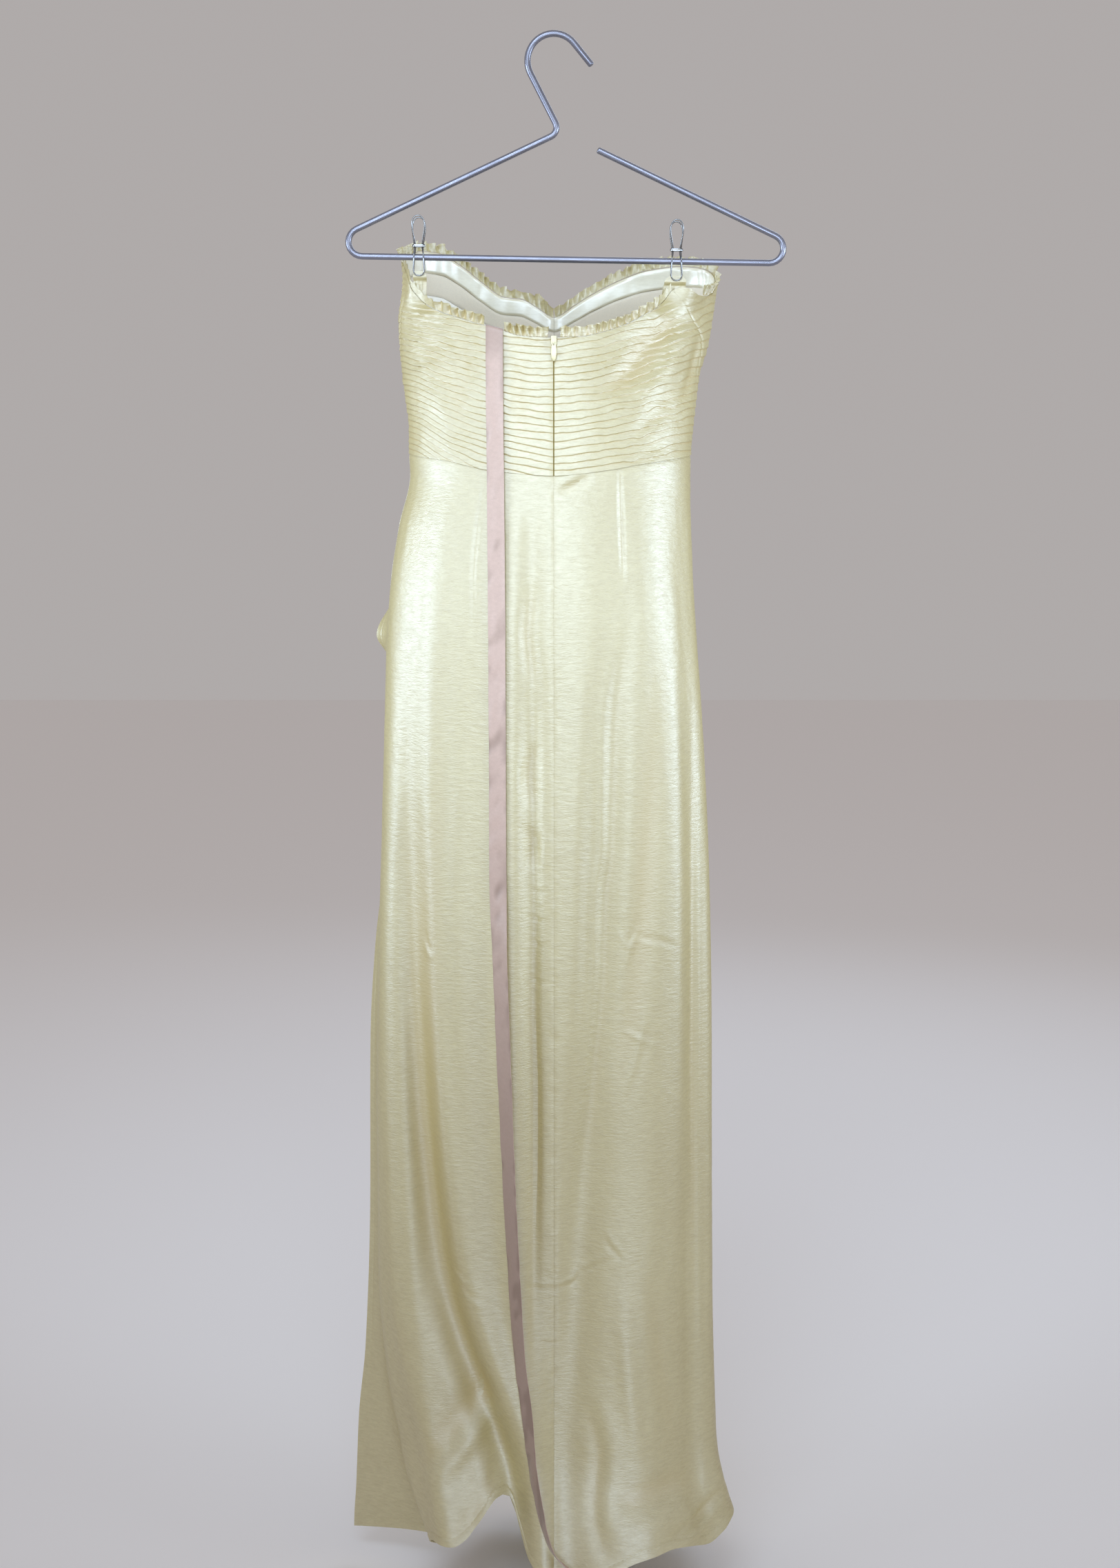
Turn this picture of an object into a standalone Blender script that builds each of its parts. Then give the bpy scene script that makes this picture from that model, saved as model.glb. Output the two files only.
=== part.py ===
"""Satin maxi dress with a pintucked strapless bodice, hung by two wire pegs from a bent-rod hanger.

Metres, +Z up. The origin is where a rail touches the underside of the hook. The dress's back faces -Y, and
its left side, as worn, is at -X. Angles round the dress are in degrees: 0 at centre back, 90 at the right
side, 180 at centre front and -90 at the left side.
"""

from collections import namedtuple

import bmesh
import bpy
import numpy as np

MM = 0.001

# Cloth
WALL = 1.2 * MM
SEAM_GAP = 0.3 * MM
BAND_WALL = 1.0 * MM
RUFFLE_WALL = 1.0 * MM
RUFFLE_HEIGHT = 9.0 * MM
RUFFLE_PITCH = 10.5 * MM
RUFFLE_WAVE = 3.0 * MM
RUFFLE_LEAN = 2.5 * MM
RUFFLE_LEANS_AT = 0.3
RUFFLE_FOOT_WAVE = 0.2
RUFFLE_PRESSED = 0.85
RUFFLE_FOOT_GAP = 0.3 * MM
TUCK_COUNT = 19
TUCK_RELIEF = 1.1 * MM
TUCK_RIDGE = 0.2
BAND_GAP = 0.45 * MM
LINING_GAP = 0.9 * MM
FACING_TUCKS = 2
GRIP_TUCKS = 2
RIBBON_WIDTH = 16.0 * MM
RIBBON_WALL = 1.0 * MM
RIBBON_CLEARANCE = 0.4 * MM
RIBBON_TOP_X = -55.0 * MM
ZIP_HALF_GAP = 0.6 * MM
BODICE_HALF_WIDTH = 145.0 * MM
ZIP_TAPE_ANGLE = 3.2
ZIP_BODICE_ROWS = (1, 4, 8, 12, 16)
ZIP_TAPE_GAP = 0.6 * MM
ZIP_BOTTOM = -590.0 * MM
ZIP_OPEN_TOP = 5.5 * MM
ZIP_SLIDER_TOP = -275.5 * MM
ZIP_SLIDER_HEIGHT = 8.0 * MM
ZIP_SLIDER_WIDTH = 5.0 * MM
ZIP_SLIDER_DEPTH = 1.4 * MM
BRIDGE_WINDOW = 1.7 * MM
BRIDGE_WALL = 0.7 * MM
BRIDGE_WIDTH = 0.9 * MM
BRIDGE_SINK = 0.2 * MM
BRIDGE_STEP = 0.1 * MM
BRIDGE_MARGIN = 1.5 * MM
PULL_WALL = 0.9 * MM
PULL_PLAY = 0.25 * MM
# Half outlines of the pull tab and of its window, in millimetres across and up from its pivot.
PULL_OUTLINE = ((0.0, 0.45), (1.7, 0.45), (1.9, -2.4), (2.6, -9.0), (2.1, -14.5), (1.0, -17.0), (0.0, -17.3))
PULL_WINDOW = ((0.0, -0.45), (0.9, -0.45), (0.9, -1.2), (0.9, -2.2), (0.7, -2.6), (0.3, -2.8), (0.0, -2.85))

# Hanger and pegs
ROD_RADIUS = 3.0 * MM
HOOK_RADIUS = 24.5 * MM
HOOK_TIP_ANGLE = 40.0
HOOK_TIP_LENGTH = 26.0 * MM
NECK_CORNER = (5.8 * MM, -85.1 * MM)
NECK_BEND = 9.0 * MM
BAR_LEFT_CORNER = (-238.0 * MM, -196.8 * MM)
BAR_RIGHT_CORNER = (264.0 * MM, -204.9 * MM)
BAR_END_BEND = 13.0 * MM
SHOULDER_FREE_END = (40.6 * MM, -101.0 * MM)
WIRE_RADIUS = 0.6 * MM
CLIP_GRIP_DEPTH = 4.4 * MM
CLIP_FLAT_RADIUS = 13.0 * MM
CLIP_PULL_RADIUS = 36.0 * MM
CLIP_PULL_FLATTEN = 0.8
# Cosines of the angles between which a peg's pull fades out towards the sides.
CLIP_PULL_NONE_AT = 0.15
CLIP_PULL_FULL_AT = 0.42
WIRE_BAR_GAP = 0.7 * MM
JAW_HALF_WIDTH = 5.5 * MM
FRONT_NECK = 4.1 * MM
BACK_NECK = 2.5 * MM
NECK_RISE = 10.5 * MM
# Half of a peg's wire beside the bar and round its handle, in millimetres from the bar's middle.
WirePlace = namedtuple("WirePlace", "across up depth")
WIRE_AT_BAR = (WirePlace(4.7, -4.0, 0.0), WirePlace(4.4, 2.0, 0.0))
WIRE_HANDLE = (
    WirePlace(6.2, 26.0, 5.2), WirePlace(5.6, 33.0, 6.4), WirePlace(3.2, 36.6, 6.8),
    WirePlace(0.0, 37.6, 6.9),
)
SPRING_HALF_WIDTH = 6.1 * MM
SPRING_HALF_DEPTH = 2.3 * MM
SPRING_WALL = 0.8 * MM
SPRING_HALF_HEIGHT = 1.2 * MM
# Angle round the dress and height of the cloth edge that each peg grips.
Clip = namedtuple("Clip", "name angle height")
CLIPS = (Clip("left", -62.0, -211.0 * MM), Clip("right", 47.0, -215.5 * MM))
TAB_HALF_ANGLE = 5.5
TAB_COLUMNS = 7
TAB_SHOULDER = 5.0 * MM
TAB_TUCKED_IN = 5.0 * MM
TAB_GAP = 1.2 * MM
TAB_FORWARD_TOP = 5.5 * MM
TAB_FORWARD_FOOT = 9.5 * MM
RUFFLE_RIGHT_END = 111.0 * MM
RUFFLE_FRONT_START = 2.6

# Outer form of the dress by height, in millimetres. left and right are the half widths from the centre-back
# line, left_depth and right_depth are where the sides lie along Y, back and front are the reach along -Y and
# +Y, and bend is the power of the cosine that carries the back from its centre to its sides.
Ring = namedtuple("Ring", "height left right left_depth right_depth back front bend")
RINGS = (
    Ring(-1510, 112, 184, -35, 0, 98, 108, 0.85),
    Ring(-1480, 128, 182, -30, 0, 92, 106, 0.85),
    Ring(-1430, 145, 173, -20, 0, 86, 104, 0.85),
    Ring(-1380, 157, 167, -10, 0, 82, 103, 0.85),
    Ring(-1300, 171, 163.5, -2, 0, 80, 102, 0.85),
    Ring(-1200, 178, 160, 0, 0, 79, 100, 0.85),
    Ring(-1050, 178, 157.5, 0, 0, 78, 97, 0.85),
    Ring(-900, 175, 155, 0, 0, 77, 95, 0.85),
    Ring(-750, 169, 150, 0, 0, 76, 93, 0.85),
    Ring(-640, 165, 144, 0, 0, 75, 92, 0.85),
    Ring(-560, 162, 138, 0, 0, 74, 90, 0.90),
    Ring(-500, 157, 134, 1, 2, 71, 87, 0.95),
    Ring(-450, 149, 132, 3, 4, 66, 83, 1.00),
    Ring(-400, 138, 131, 5, 6, 60, 79, 1.00),
    Ring(-380, 139, 131, 6, 8, 59, 80, 1.05),
    Ring(-357, 139, 133, 7, 12, 58, 83, 1.10),
    Ring(-330, 142, 136, 8, 18, 56, 87, 1.20),
    Ring(-305, 145, 139, 10, 26, 54, 92, 1.30),
    Ring(-280, 147, 147, 12, 36, 51, 95, 1.40),
    Ring(-255, 148, 152, 14, 44, 48, 95, 1.50),
    Ring(-230, 145, 156, 16, 50, 46, 93, 1.60),
    Ring(-215, 144, 158, 18, 54, 45, 92, 1.60),
    Ring(-185, 147, 152, 22, 54, 44, 86, 1.60),
)
FRONT_BEND = 0.9
# Steps in degrees and metres between the neighbours from which a direction is read.
ANGLE_NUDGE = 0.5
NORMAL_NUDGE = 0.4
NORMAL_STEP = 0.0015

# Heights of the seams and edges round the dress, in millimetres by angle.
Edge = namedtuple("Edge", "angle height")
TOP_EDGE = (
    Edge(-180, -246), Edge(-173, -236), Edge(-167, -228), Edge(-160, -226), Edge(-151, -213),
    Edge(-140, -196), Edge(-130, -187), Edge(-120, -186), Edge(-108, -191), Edge(-95, -197),
    Edge(-85, -202), Edge(-78, -209), Edge(-73, -219), Edge(-69, -227), Edge(-64, -233),
    Edge(-58, -240), Edge(-52, -246), Edge(-44, -252.5), Edge(-36, -258), Edge(-28, -264),
    Edge(-20, -269), Edge(-12, -275.5), Edge(0, -277), Edge(10, -276), Edge(18, -271.5),
    Edge(26, -264.5), Edge(30, -259.5), Edge(34, -254), Edge(38, -248.5), Edge(42, -240),
    Edge(46, -229), Edge(50, -226), Edge(55, -227), Edge(62, -232), Edge(75, -229),
    Edge(88, -217), Edge(100, -206), Edge(115, -200), Edge(129, -198), Edge(144, -201),
    Edge(155, -209), Edge(166, -223), Edge(173, -235), Edge(180, -246),
)
WAIST_SEAM = (
    Edge(-180, -380), Edge(-90, -381), Edge(-46, -389), Edge(-28, -397), Edge(0, -403),
    Edge(22, -398), Edge(39, -392), Edge(90, -382), Edge(180, -380),
)
HEM = (
    Edge(-180, -1490), Edge(-125, -1488), Edge(-88, -1480), Edge(-76, -1474), Edge(-64, -1461),
    Edge(-52, -1450), Edge(-46, -1447), Edge(-40, -1446), Edge(-37, -1443), Edge(-34, -1438),
    Edge(-31, -1430), Edge(-28, -1422), Edge(-25, -1413), Edge(-22, -1406), Edge(-19, -1405),
    Edge(-16.5, -1414), Edge(-14, -1436), Edge(-10, -1460), Edge(0, -1474), Edge(10, -1477),
    Edge(18, -1467), Edge(25, -1458), Edge(31, -1454), Edge(38, -1451), Edge(46, -1454),
    Edge(55, -1459), Edge(63, -1452), Edge(70, -1444), Edge(80, -1440), Edge(92, -1448),
    Edge(115, -1474), Edge(150, -1488), Edge(180, -1490),
)

# Side seams, by share of the bodice's height from waist to top edge.
SeamAngle = namedtuple("SeamAngle", "share left right")
SIDE_SEAMS = (
    SeamAngle(0.0, -88, 86), SeamAngle(0.35, -87, 82), SeamAngle(0.7, -82, 73), SeamAngle(0.82, -79, 63),
    SeamAngle(0.91, -75, 53), SeamAngle(1.0, -70, 46.5),
)
SKIRT_LEFT_SEAM = -88.0
SKIRT_RIGHT_SEAM = 86.0
SLIT_ANGLE = -125.0
SLIT_CLEARANCE = 0.5
SLIT_TOP = -0.49
SLIT_OPENS_OVER = 0.04
# Share of the depth from the side seam to the slit's edge at which the narrow strip turns.
STRIP_TURN = 0.65
ROWS_TO_HEM = 0.10
BACK_ROWS = 18
FRONT_ROWS = 15
STRIP_DETAIL = (0.5, 1.3, 1.6, 2.3, 2.6, 3.5)

# Soft folds of the skirt: angle and depth (mm, outward) at four heights, and half width in degrees.
FOLD_HEIGHTS = (-1.45, -1.15, -0.80, -0.45)
Fold = namedtuple("Fold", "name angles depths spread")
FOLDS = (
    Fold("left lobe", (-44, -60, -68, -70), (14, 7, 4, 1), 10),
    Fold("left sweep", (-15, -42, -55, -58), (-20, -12, -3, 0), 6.5),
    Fold("sweep ridge", (-4, -31, -43, -46), (6, 8, 4, 1), 6),
    Fold("ribbon ridge", (-5, -12, -13, -14), (0, 3, 3, 2), 4),
    Fold("centre trough", (0, -5, -6.5, -7.5), (0, -5, -8, -2), 4),
    Fold("right sweep", (3, 9, 17.5, 26), (-7, -10, -8, -1), 8),
    Fold("right ridge", (30, 36, 44, 48), (8, 6, 5, 2), 13),
    Fold("right trough", (56, 58, 60, 62), (-4, -4, -3, 0), 7),
    Fold("right side ridge", (72, 74, 76, 78), (5, 4, 3, 1), 8),
    Fold("front fold 1", (112, 110, 108, 106), (-12, -8, -4, 0), 8),
    Fold("front fold 2", (132, 130, 126, 124), (10, 8, 5, 1), 9),
    Fold("front fold 3", (150, 150, 148, 146), (-13, -9, -5, -1), 8),
    Fold("front fold 4", (170, 170, 169, 168), (11, 8, 5, 1), 9),
    Fold("front fold 5", (-170, -169, -169, -170), (-12, -9, -5, 0), 8),
    Fold("front fold 6", (-150, -149, -150, -152), (9, 7, 4, 1), 8),
    Fold("front fold 7", (-134, -134, -136, -138), (-8, -6, -3, 0), 7),
)
FOLDS_TOP = -0.40
FOLDS_FULL = -0.47
HEM_FLARE = 26.0 * MM
LOBE_CURL = 25.0 * MM
LOBE_CURL_ANGLE = -78.0
LOBE_CURL_SPREAD = 28.0
LOBE_CURL_TOP = -1.39
LOBE_CURL_FOOT = -1.49
FLARE_TOP = -1.36
FLARE_FOOT = -1.50
# Cosines of the angles at which the hem's flare starts at the sides and is full on the back.
FLARE_STARTS_AT = -0.1
FLARE_FULL_AT = 0.5
CUP_SWELL = 12.0 * MM
CUP_HEIGHT = -0.262
CUP_SPREAD = 0.045
CUP_ANGLE = 142.0
CUP_ANGLE_SPREAD = 20.0
CLEAVAGE_DEPTH = 8.0 * MM
CLEAVAGE_SPREAD = 12.0
CLEAVAGE_FOOT = -0.36
CLEAVAGE_TOP = -0.28

# Free edge of the narrow front strip at the slit, in millimetres.
StripEdge = namedtuple("StripEdge", "height x y")
STRIP_EDGE = (
    StripEdge(-1497, -212, 30), StripEdge(-1448, -209, 30), StripEdge(-1371, -205, 30),
    StripEdge(-1295, -197, 30), StripEdge(-1145, -190, 30), StripEdge(-962, -187, 31),
    StripEdge(-869, -181, 33), StripEdge(-792, -171, 38), StripEdge(-680, -154, 46),
    StripEdge(-600, -156, 42), StripEdge(-577, -164, 34), StripEdge(-556, -175, 28),
    StripEdge(-530, -163, 36), StripEdge(-500, -137, 50), StripEdge(-450, -123, 50),
    StripEdge(-380, -114, 48),
)

# Middle line of the ribbon outside the dress, in millimetres, and the turn of its width from X, in degrees.
RibbonRow = namedtuple("RibbonRow", "height x turn")
RIBBON_DROP = (
    RibbonRow(-1476, 34, 78), RibbonRow(-1460, 14, 72), RibbonRow(-1440, -3, 68),
    RibbonRow(-1404, -14, 62), RibbonRow(-1374, -20, 58), RibbonRow(-1318, -26, 50),
    RibbonRow(-1246, -34, 45), RibbonRow(-1105, -42, 41), RibbonRow(-1000, -46, 36),
    RibbonRow(-864, -51, 29), RibbonRow(-765, -53, 0), RibbonRow(-565, -53, 0),
    RibbonRow(-262, -55, 0),
)
RIBBON_INSIDE_END = -0.372
RIBBON_INSIDE_GAP = 1.2 * MM
RIBBON_EDGE_HEIGHT = -0.262
# Where the ribbon's middle lies as it folds over the top edge, in millimetres from the edge.
OverPoint = namedtuple("OverPoint", "inward up")
RIBBON_OVER = (OverPoint(2.5, -0.2), OverPoint(0.6, 1.2), OverPoint(-2.3, 0.0))
RIBBON_FOLD_CLEAR = 8.0 * MM
RIBBON_LOOK_ASIDE = 1.0 * MM
RIBBON_LOOK_UP = (-6.0, -3.0, 0.0, 3.0, 6.0)
RIBBON_TILT_LIMIT = 3.0 * MM
TUCKS_FOOT = -0.412
TUCKS_START = -0.404

SATIN = (0.86, 0.84, 0.64, 1.0)
SATIN_INSIDE = (0.80, 0.76, 0.55, 1.0)
LINING = (0.87, 0.84, 0.76, 1.0)
GRIP = (0.62, 0.58, 0.51, 1.0)
RIBBON = (0.74, 0.62, 0.57, 1.0)
STEEL = (0.60, 0.61, 0.68, 1.0)
WIRE = (0.72, 0.72, 0.72, 1.0)


def smooth_through(xs, ys, at):
    """Value at `at` of a smooth curve through (xs, ys) that never overshoots its points."""
    xs = np.asarray(xs, float)
    ys = np.asarray(ys, float)
    step = np.diff(xs)
    rise = np.diff(ys) / step
    slope = np.zeros_like(ys)
    product = rise[:-1] * rise[1:]
    total = rise[:-1] + rise[1:]
    slope[1:-1] = np.where(product > 0, 2 * product / np.where(total == 0, 1, total), 0)
    at = np.clip(at, xs[0], xs[-1])
    i = np.clip(np.searchsorted(xs, at) - 1, 0, len(xs) - 2)
    u = (at - xs[i]) / step[i]
    start = (1 + 2 * u) * (1 - u) ** 2 * ys[i] + u * (1 - u) ** 2 * step[i] * slope[i]
    end = u * u * (3 - 2 * u) * ys[i + 1] - u * u * (1 - u) * step[i] * slope[i + 1]
    return start + end


def column(rows, name, at):
    """A named column of a table in millimetres, read at heights in metres."""
    heights = [row.height * MM for row in rows]
    return smooth_through(heights, [getattr(row, name) * MM for row in rows], at)


def edge_height(rows, angle):
    return smooth_through([row.angle for row in rows], [row.height * MM for row in rows], angle)


def smooth_step(low, high, value):
    u = np.clip((value - low) / (high - low), 0, 1)
    return u * u * (3 - 2 * u)


def ring_point(angle, height):
    """X and Y of the plain outer form at an angle and a height."""
    turn = np.radians(angle)
    side = np.sin(turn)
    facing = np.cos(turn)
    half = np.where(side > 0, column(RINGS, "right", height), column(RINGS, "left", height))
    rest = np.where(side > 0, column(RINGS, "right_depth", height), column(RINGS, "left_depth", height))
    reach = np.where(facing > 0, -column(RINGS, "back", height), column(RINGS, "front", height))
    bend = np.where(facing > 0, column(RINGS, "bend", height) / MM, FRONT_BEND)
    return half * side, rest + (reach - rest) * np.abs(facing) ** bend


def outward(angle, height):
    """Unit X and Y of the direction that faces out of the plain form."""
    x0, y0 = ring_point(angle - ANGLE_NUDGE, height)
    x1, y1 = ring_point(angle + ANGLE_NUDGE, height)
    length = np.hypot(x1 - x0, y1 - y0)
    return (y1 - y0) / length, -(x1 - x0) / length


def angle_apart(angle, centre):
    return (angle - centre + 180.0) % 360.0 - 180.0


def fold_depth(angle, height):
    """How far the skirt's folds, hem flare and the cups push the form outward."""
    depth = np.zeros(np.broadcast(angle, height).shape)
    for fold in FOLDS:
        centre = smooth_through(FOLD_HEIGHTS, fold.angles, height)
        amount = smooth_through(FOLD_HEIGHTS, fold.depths, height) * MM
        depth = depth + amount * np.exp(-((angle_apart(angle, centre) / fold.spread) ** 2))
    depth = depth * smooth_step(FOLDS_TOP, FOLDS_FULL, height)
    back = smooth_step(FLARE_STARTS_AT, FLARE_FULL_AT, np.cos(np.radians(angle)))
    depth = depth + HEM_FLARE * back * smooth_step(FLARE_TOP, FLARE_FOOT, height)
    curl = np.exp(-((angle_apart(angle, LOBE_CURL_ANGLE) / LOBE_CURL_SPREAD) ** 2))
    depth = depth - LOBE_CURL * curl * smooth_step(LOBE_CURL_TOP, LOBE_CURL_FOOT, height)
    swell = np.exp(-(((height - CUP_HEIGHT) / CUP_SPREAD) ** 2))
    for side in (-1, 1):
        apart = angle_apart(angle, side * CUP_ANGLE) / CUP_ANGLE_SPREAD
        depth = depth + CUP_SWELL * swell * np.exp(-(apart ** 2))
    valley = np.exp(-((angle_apart(angle, 180.0) / CLEAVAGE_SPREAD) ** 2))
    return depth - CLEAVAGE_DEPTH * valley * smooth_step(CLEAVAGE_FOOT, CLEAVAGE_TOP, height)


def clip_place(clip):
    """X and Z of the cloth edge that a peg grips."""
    return float(ring_point(clip.angle, clip.height)[0]), clip.height


def clip_pull(angle, x, height):
    """1 where a peg holds the cloth flat in the hanger's plane, 0 away from it."""
    near_side = smooth_step(CLIP_PULL_NONE_AT, CLIP_PULL_FULL_AT, np.cos(np.radians(angle)))
    pull = np.zeros(np.broadcast(x, height).shape)
    for clip in CLIPS:
        clip_x, clip_z = clip_place(clip)
        apart = np.hypot(x - clip_x, (height - clip_z) * CLIP_PULL_FLATTEN)
        pull = np.maximum(pull, smooth_step(CLIP_PULL_RADIUS, CLIP_FLAT_RADIUS, apart) * near_side)
    return pull


def form_point(angle, height):
    """Point on the dress's outer form."""
    x, y = ring_point(angle, height)
    out_x, out_y = outward(angle, height)
    depth = fold_depth(angle, height)
    pull = clip_pull(angle, x, height)
    x = x + out_x * depth * (1 - pull)
    y = (y + out_y * depth) * (1 - pull) - 0.5 * WALL * pull
    return np.stack([x, y, height + 0 * x], axis=-1)


def form_normal(angle, height):
    """Unit outward normal of the form, from its neighbours on the form itself."""
    across = form_point(angle + NORMAL_NUDGE, height) - form_point(angle - NORMAL_NUDGE, height)
    down = form_point(angle, height - NORMAL_STEP) - form_point(angle, height + NORMAL_STEP)
    normal = np.cross(down, across)
    return normal / np.linalg.norm(normal, axis=-1, keepdims=True)


def set_in(points, amount, top=None):
    """The grid's borders drawn in, square to themselves, to stay clear of the next piece at a seam."""
    moved = points.copy()
    for axis in (0, 1):
        line = np.moveaxis(moved, axis, 0)
        for edge, inner in ((0, 1), (-1, -2)):
            far = top if top is not None and axis == 0 and edge == 0 else amount
            inward = line[inner] - line[edge]
            along = np.gradient(line[edge], axis=0)
            along = along / np.linalg.norm(along, axis=-1, keepdims=True)
            inward = inward - along * np.sum(inward * along, axis=-1, keepdims=True)
            line[edge] += far * inward / np.linalg.norm(inward, axis=-1, keepdims=True)
    return moved


def material(name, color, roughness, metallic=0.0):
    made = bpy.data.materials.new(name)
    made.use_nodes = True
    shader = made.node_tree.nodes["Principled BSDF"]
    shader.inputs["Base Color"].default_value = color
    shader.inputs["Roughness"].default_value = roughness
    shader.inputs["Metallic"].default_value = metallic
    made.diffuse_color = color
    return made


def add_object(name, bm, finish, sharp=40.0):
    """A mesh object from bm, with its faces turned out and shaded smooth."""
    bmesh.ops.recalc_face_normals(bm, faces=bm.faces)
    mesh = bpy.data.meshes.new(name)
    bm.to_mesh(mesh)
    bm.free()
    mesh.shade_smooth()
    mesh.set_sharp_from_angle(angle=np.radians(sharp))
    mesh.materials.append(finish)
    made = bpy.data.objects.new(name, mesh)
    bpy.context.collection.objects.link(made)
    return made


def grid_faces(bm, verts):
    for upper, lower in zip(verts[:-1], verts[1:]):
        for i in range(len(upper) - 1):
            bm.faces.new((upper[i], upper[i + 1], lower[i + 1], lower[i]))


def stitch(bm, one, other):
    """Faces between two edges that run the same way and may have different numbers of points."""
    i = j = 0
    while i < len(one) - 1 or j < len(other) - 1:
        share_one = (i + 1) / (len(one) - 1) if i < len(one) - 1 else 2.0
        share_other = (j + 1) / (len(other) - 1) if j < len(other) - 1 else 2.0
        if abs(share_one - share_other) < 1e-6:
            bm.faces.new((one[i], one[i + 1], other[j + 1], other[j]))
            i += 1
            j += 1
        elif share_one < share_other:
            bm.faces.new((one[i], one[i + 1], other[j]))
            i += 1
        else:
            bm.faces.new((one[i], other[j + 1], other[j]))
            j += 1


def wall(name, outer, inner, finish):
    """A closed cloth wall between two grids of points, which may differ in their numbers of rows."""
    bm = bmesh.new()
    outer_verts = [[bm.verts.new(point) for point in row] for row in outer]
    inner_verts = [[bm.verts.new(point) for point in row] for row in inner]
    grid_faces(bm, outer_verts)
    grid_faces(bm, inner_verts)
    stitch(bm, outer_verts[0], inner_verts[0])
    stitch(bm, outer_verts[-1], inner_verts[-1])
    for side in (0, -1):
        stitch(bm, [row[side] for row in outer_verts], [row[side] for row in inner_verts])
    bmesh.ops.triangulate(bm, faces=bm.faces)
    return add_object(name, bm, finish)


def form_wall(name, angles, heights, finish, relief=None, inner_step=1, top_gap=None):
    """A wall on the dress's form. Gives its outer and inner points.

    angles and heights are grids, with rows from top to bottom and columns towards +angle.
    """
    points = set_in(form_point(angles, heights), 0.5 * SEAM_GAP, top_gap)
    normals = form_normal(angles, heights)
    outer = points if relief is None else points + normals * relief[..., None]
    inner = (points - normals * WALL)[::inner_step]
    wall(name, outer, inner, finish)
    return outer, inner


def tuck_rows():
    """Shares of the bodice's height and each row's relief, with each tuck's lower edge standing out."""
    shares = []
    relief = []
    for tuck in range(TUCK_COUNT):
        for part, rise in ((0.0, 0.0), (TUCK_RIDGE, 1.0)):
            shares.append((tuck + part) / TUCK_COUNT)
            relief.append(rise * TUCK_RELIEF)
    shares.append(1.0)
    relief.append(0.0)
    return np.array(shares[::-1]), np.array(relief[::-1])


def side_seam(side, share):
    shares = [row.share for row in SIDE_SEAMS]
    return smooth_through(shares, [getattr(row, side) for row in SIDE_SEAMS], share)


def bodice_angles(start, end, shares, columns):
    """Angles of a bodice panel's columns at each share of its height.

    start and end are each an angle or a side seam's name.
    """
    first = side_seam(start, shares) if isinstance(start, str) else np.full_like(shares, start)
    last = side_seam(end, shares) if isinstance(end, str) else np.full_like(shares, end)
    return first[:, None] + (last - first)[:, None] * columns


def columns_from(near, count):
    """Shares of a panel's width: a first narrow step beside the zip, then even ones."""
    return np.r_[0.0, np.linspace(near, 1.0, count - 1)]


def bodice_panel(name, start, end, columns, finish):
    """A pintucked panel between two edges."""
    shares, relief = tuck_rows()
    angles = bodice_angles(start, end, shares, columns)
    low = edge_height(WAIST_SEAM, angles)
    top = edge_height(TOP_EDGE, angles)
    heights = low + (top - low) * shares[:, None]
    x = ring_point(angles, heights)[0]
    raised = relief[:, None] * (1 - clip_pull(angles, x, heights))
    return form_wall(name, angles, heights, finish, raised, 2)


def skirt_drop(rows):
    """Shares of the way from the waist seam to the hem, closer together near the hem."""
    drop = np.linspace(0, 1, rows)
    return drop + ROWS_TO_HEM * np.sin(np.pi * drop)


def skirt_panel(name, start, end, columns, rows, finish):
    """A skirt panel from the waist seam to the hem."""
    drop = skirt_drop(rows)
    angles = angle_apart(np.broadcast_to(start + (end - start) * columns, (rows, len(columns))), 0.0)
    low = edge_height(HEM, angles)
    top = edge_height(WAIST_SEAM, angles)
    heights = top + (low - top) * drop[:, None]
    return form_wall(name, angles, heights, finish, top_gap=SEAM_GAP)


def strip_grid(columns, rows, detail):
    """Points of the narrow front strip, from its free edge at the slit to the left side seam.

    The seam side keeps the back panel's rows; `detail` adds rows between them.
    """
    back_shares = skirt_drop(rows)
    seam_top = edge_height(WAIST_SEAM, SKIRT_LEFT_SEAM)
    seam_heights = seam_top + (edge_height(HEM, SKIRT_LEFT_SEAM) - seam_top) * back_shares
    back_seam = form_point(np.full(rows, SKIRT_LEFT_SEAM), seam_heights)
    places = np.unique(np.r_[np.arange(rows), detail])
    seam = read_line(back_seam, places)
    shares = np.interp(places, np.arange(rows), back_shares)
    edge_top = edge_height(WAIST_SEAM, SLIT_ANGLE)
    edge_heights = edge_top + (STRIP_EDGE[0].height * MM - edge_top) * shares
    edge_x = column(STRIP_EDGE, "x", edge_heights)
    edge = np.stack([edge_x, column(STRIP_EDGE, "y", edge_heights), edge_heights], -1)
    sewn = form_point(np.full(len(places), SLIT_ANGLE + SLIT_CLEARANCE), edge_heights)
    free = smooth_step(SLIT_TOP, SLIT_TOP - SLIT_OPENS_OVER, edge_heights)[:, None]
    edge = sewn + (edge - sewn) * free
    corner_y = (1 - STRIP_TURN) * seam[:, 1] + STRIP_TURN * edge[:, 1]
    corner = np.stack([seam[:, 0], corner_y, 0.5 * (seam[:, 2] + edge[:, 2])], -1)
    u = np.linspace(0, 1, columns)[None, :, None]
    return (1 - u) ** 2 * edge[:, None] + 2 * u * (1 - u) * corner[:, None] + u ** 2 * seam[:, None]


def grid_normals(points):
    """Unit normals of a grid of points, facing out for columns that run towards +angle."""
    down = np.gradient(points, axis=0)
    across = np.gradient(points, axis=1)
    normal = np.cross(down, across)
    return normal / np.linalg.norm(normal, axis=-1, keepdims=True)


def skirt_strip(name, columns, rows, detail, finish):
    points = set_in(strip_grid(columns, rows, detail), SEAM_GAP)
    wall(name, points, points - grid_normals(points) * WALL, finish)


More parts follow.
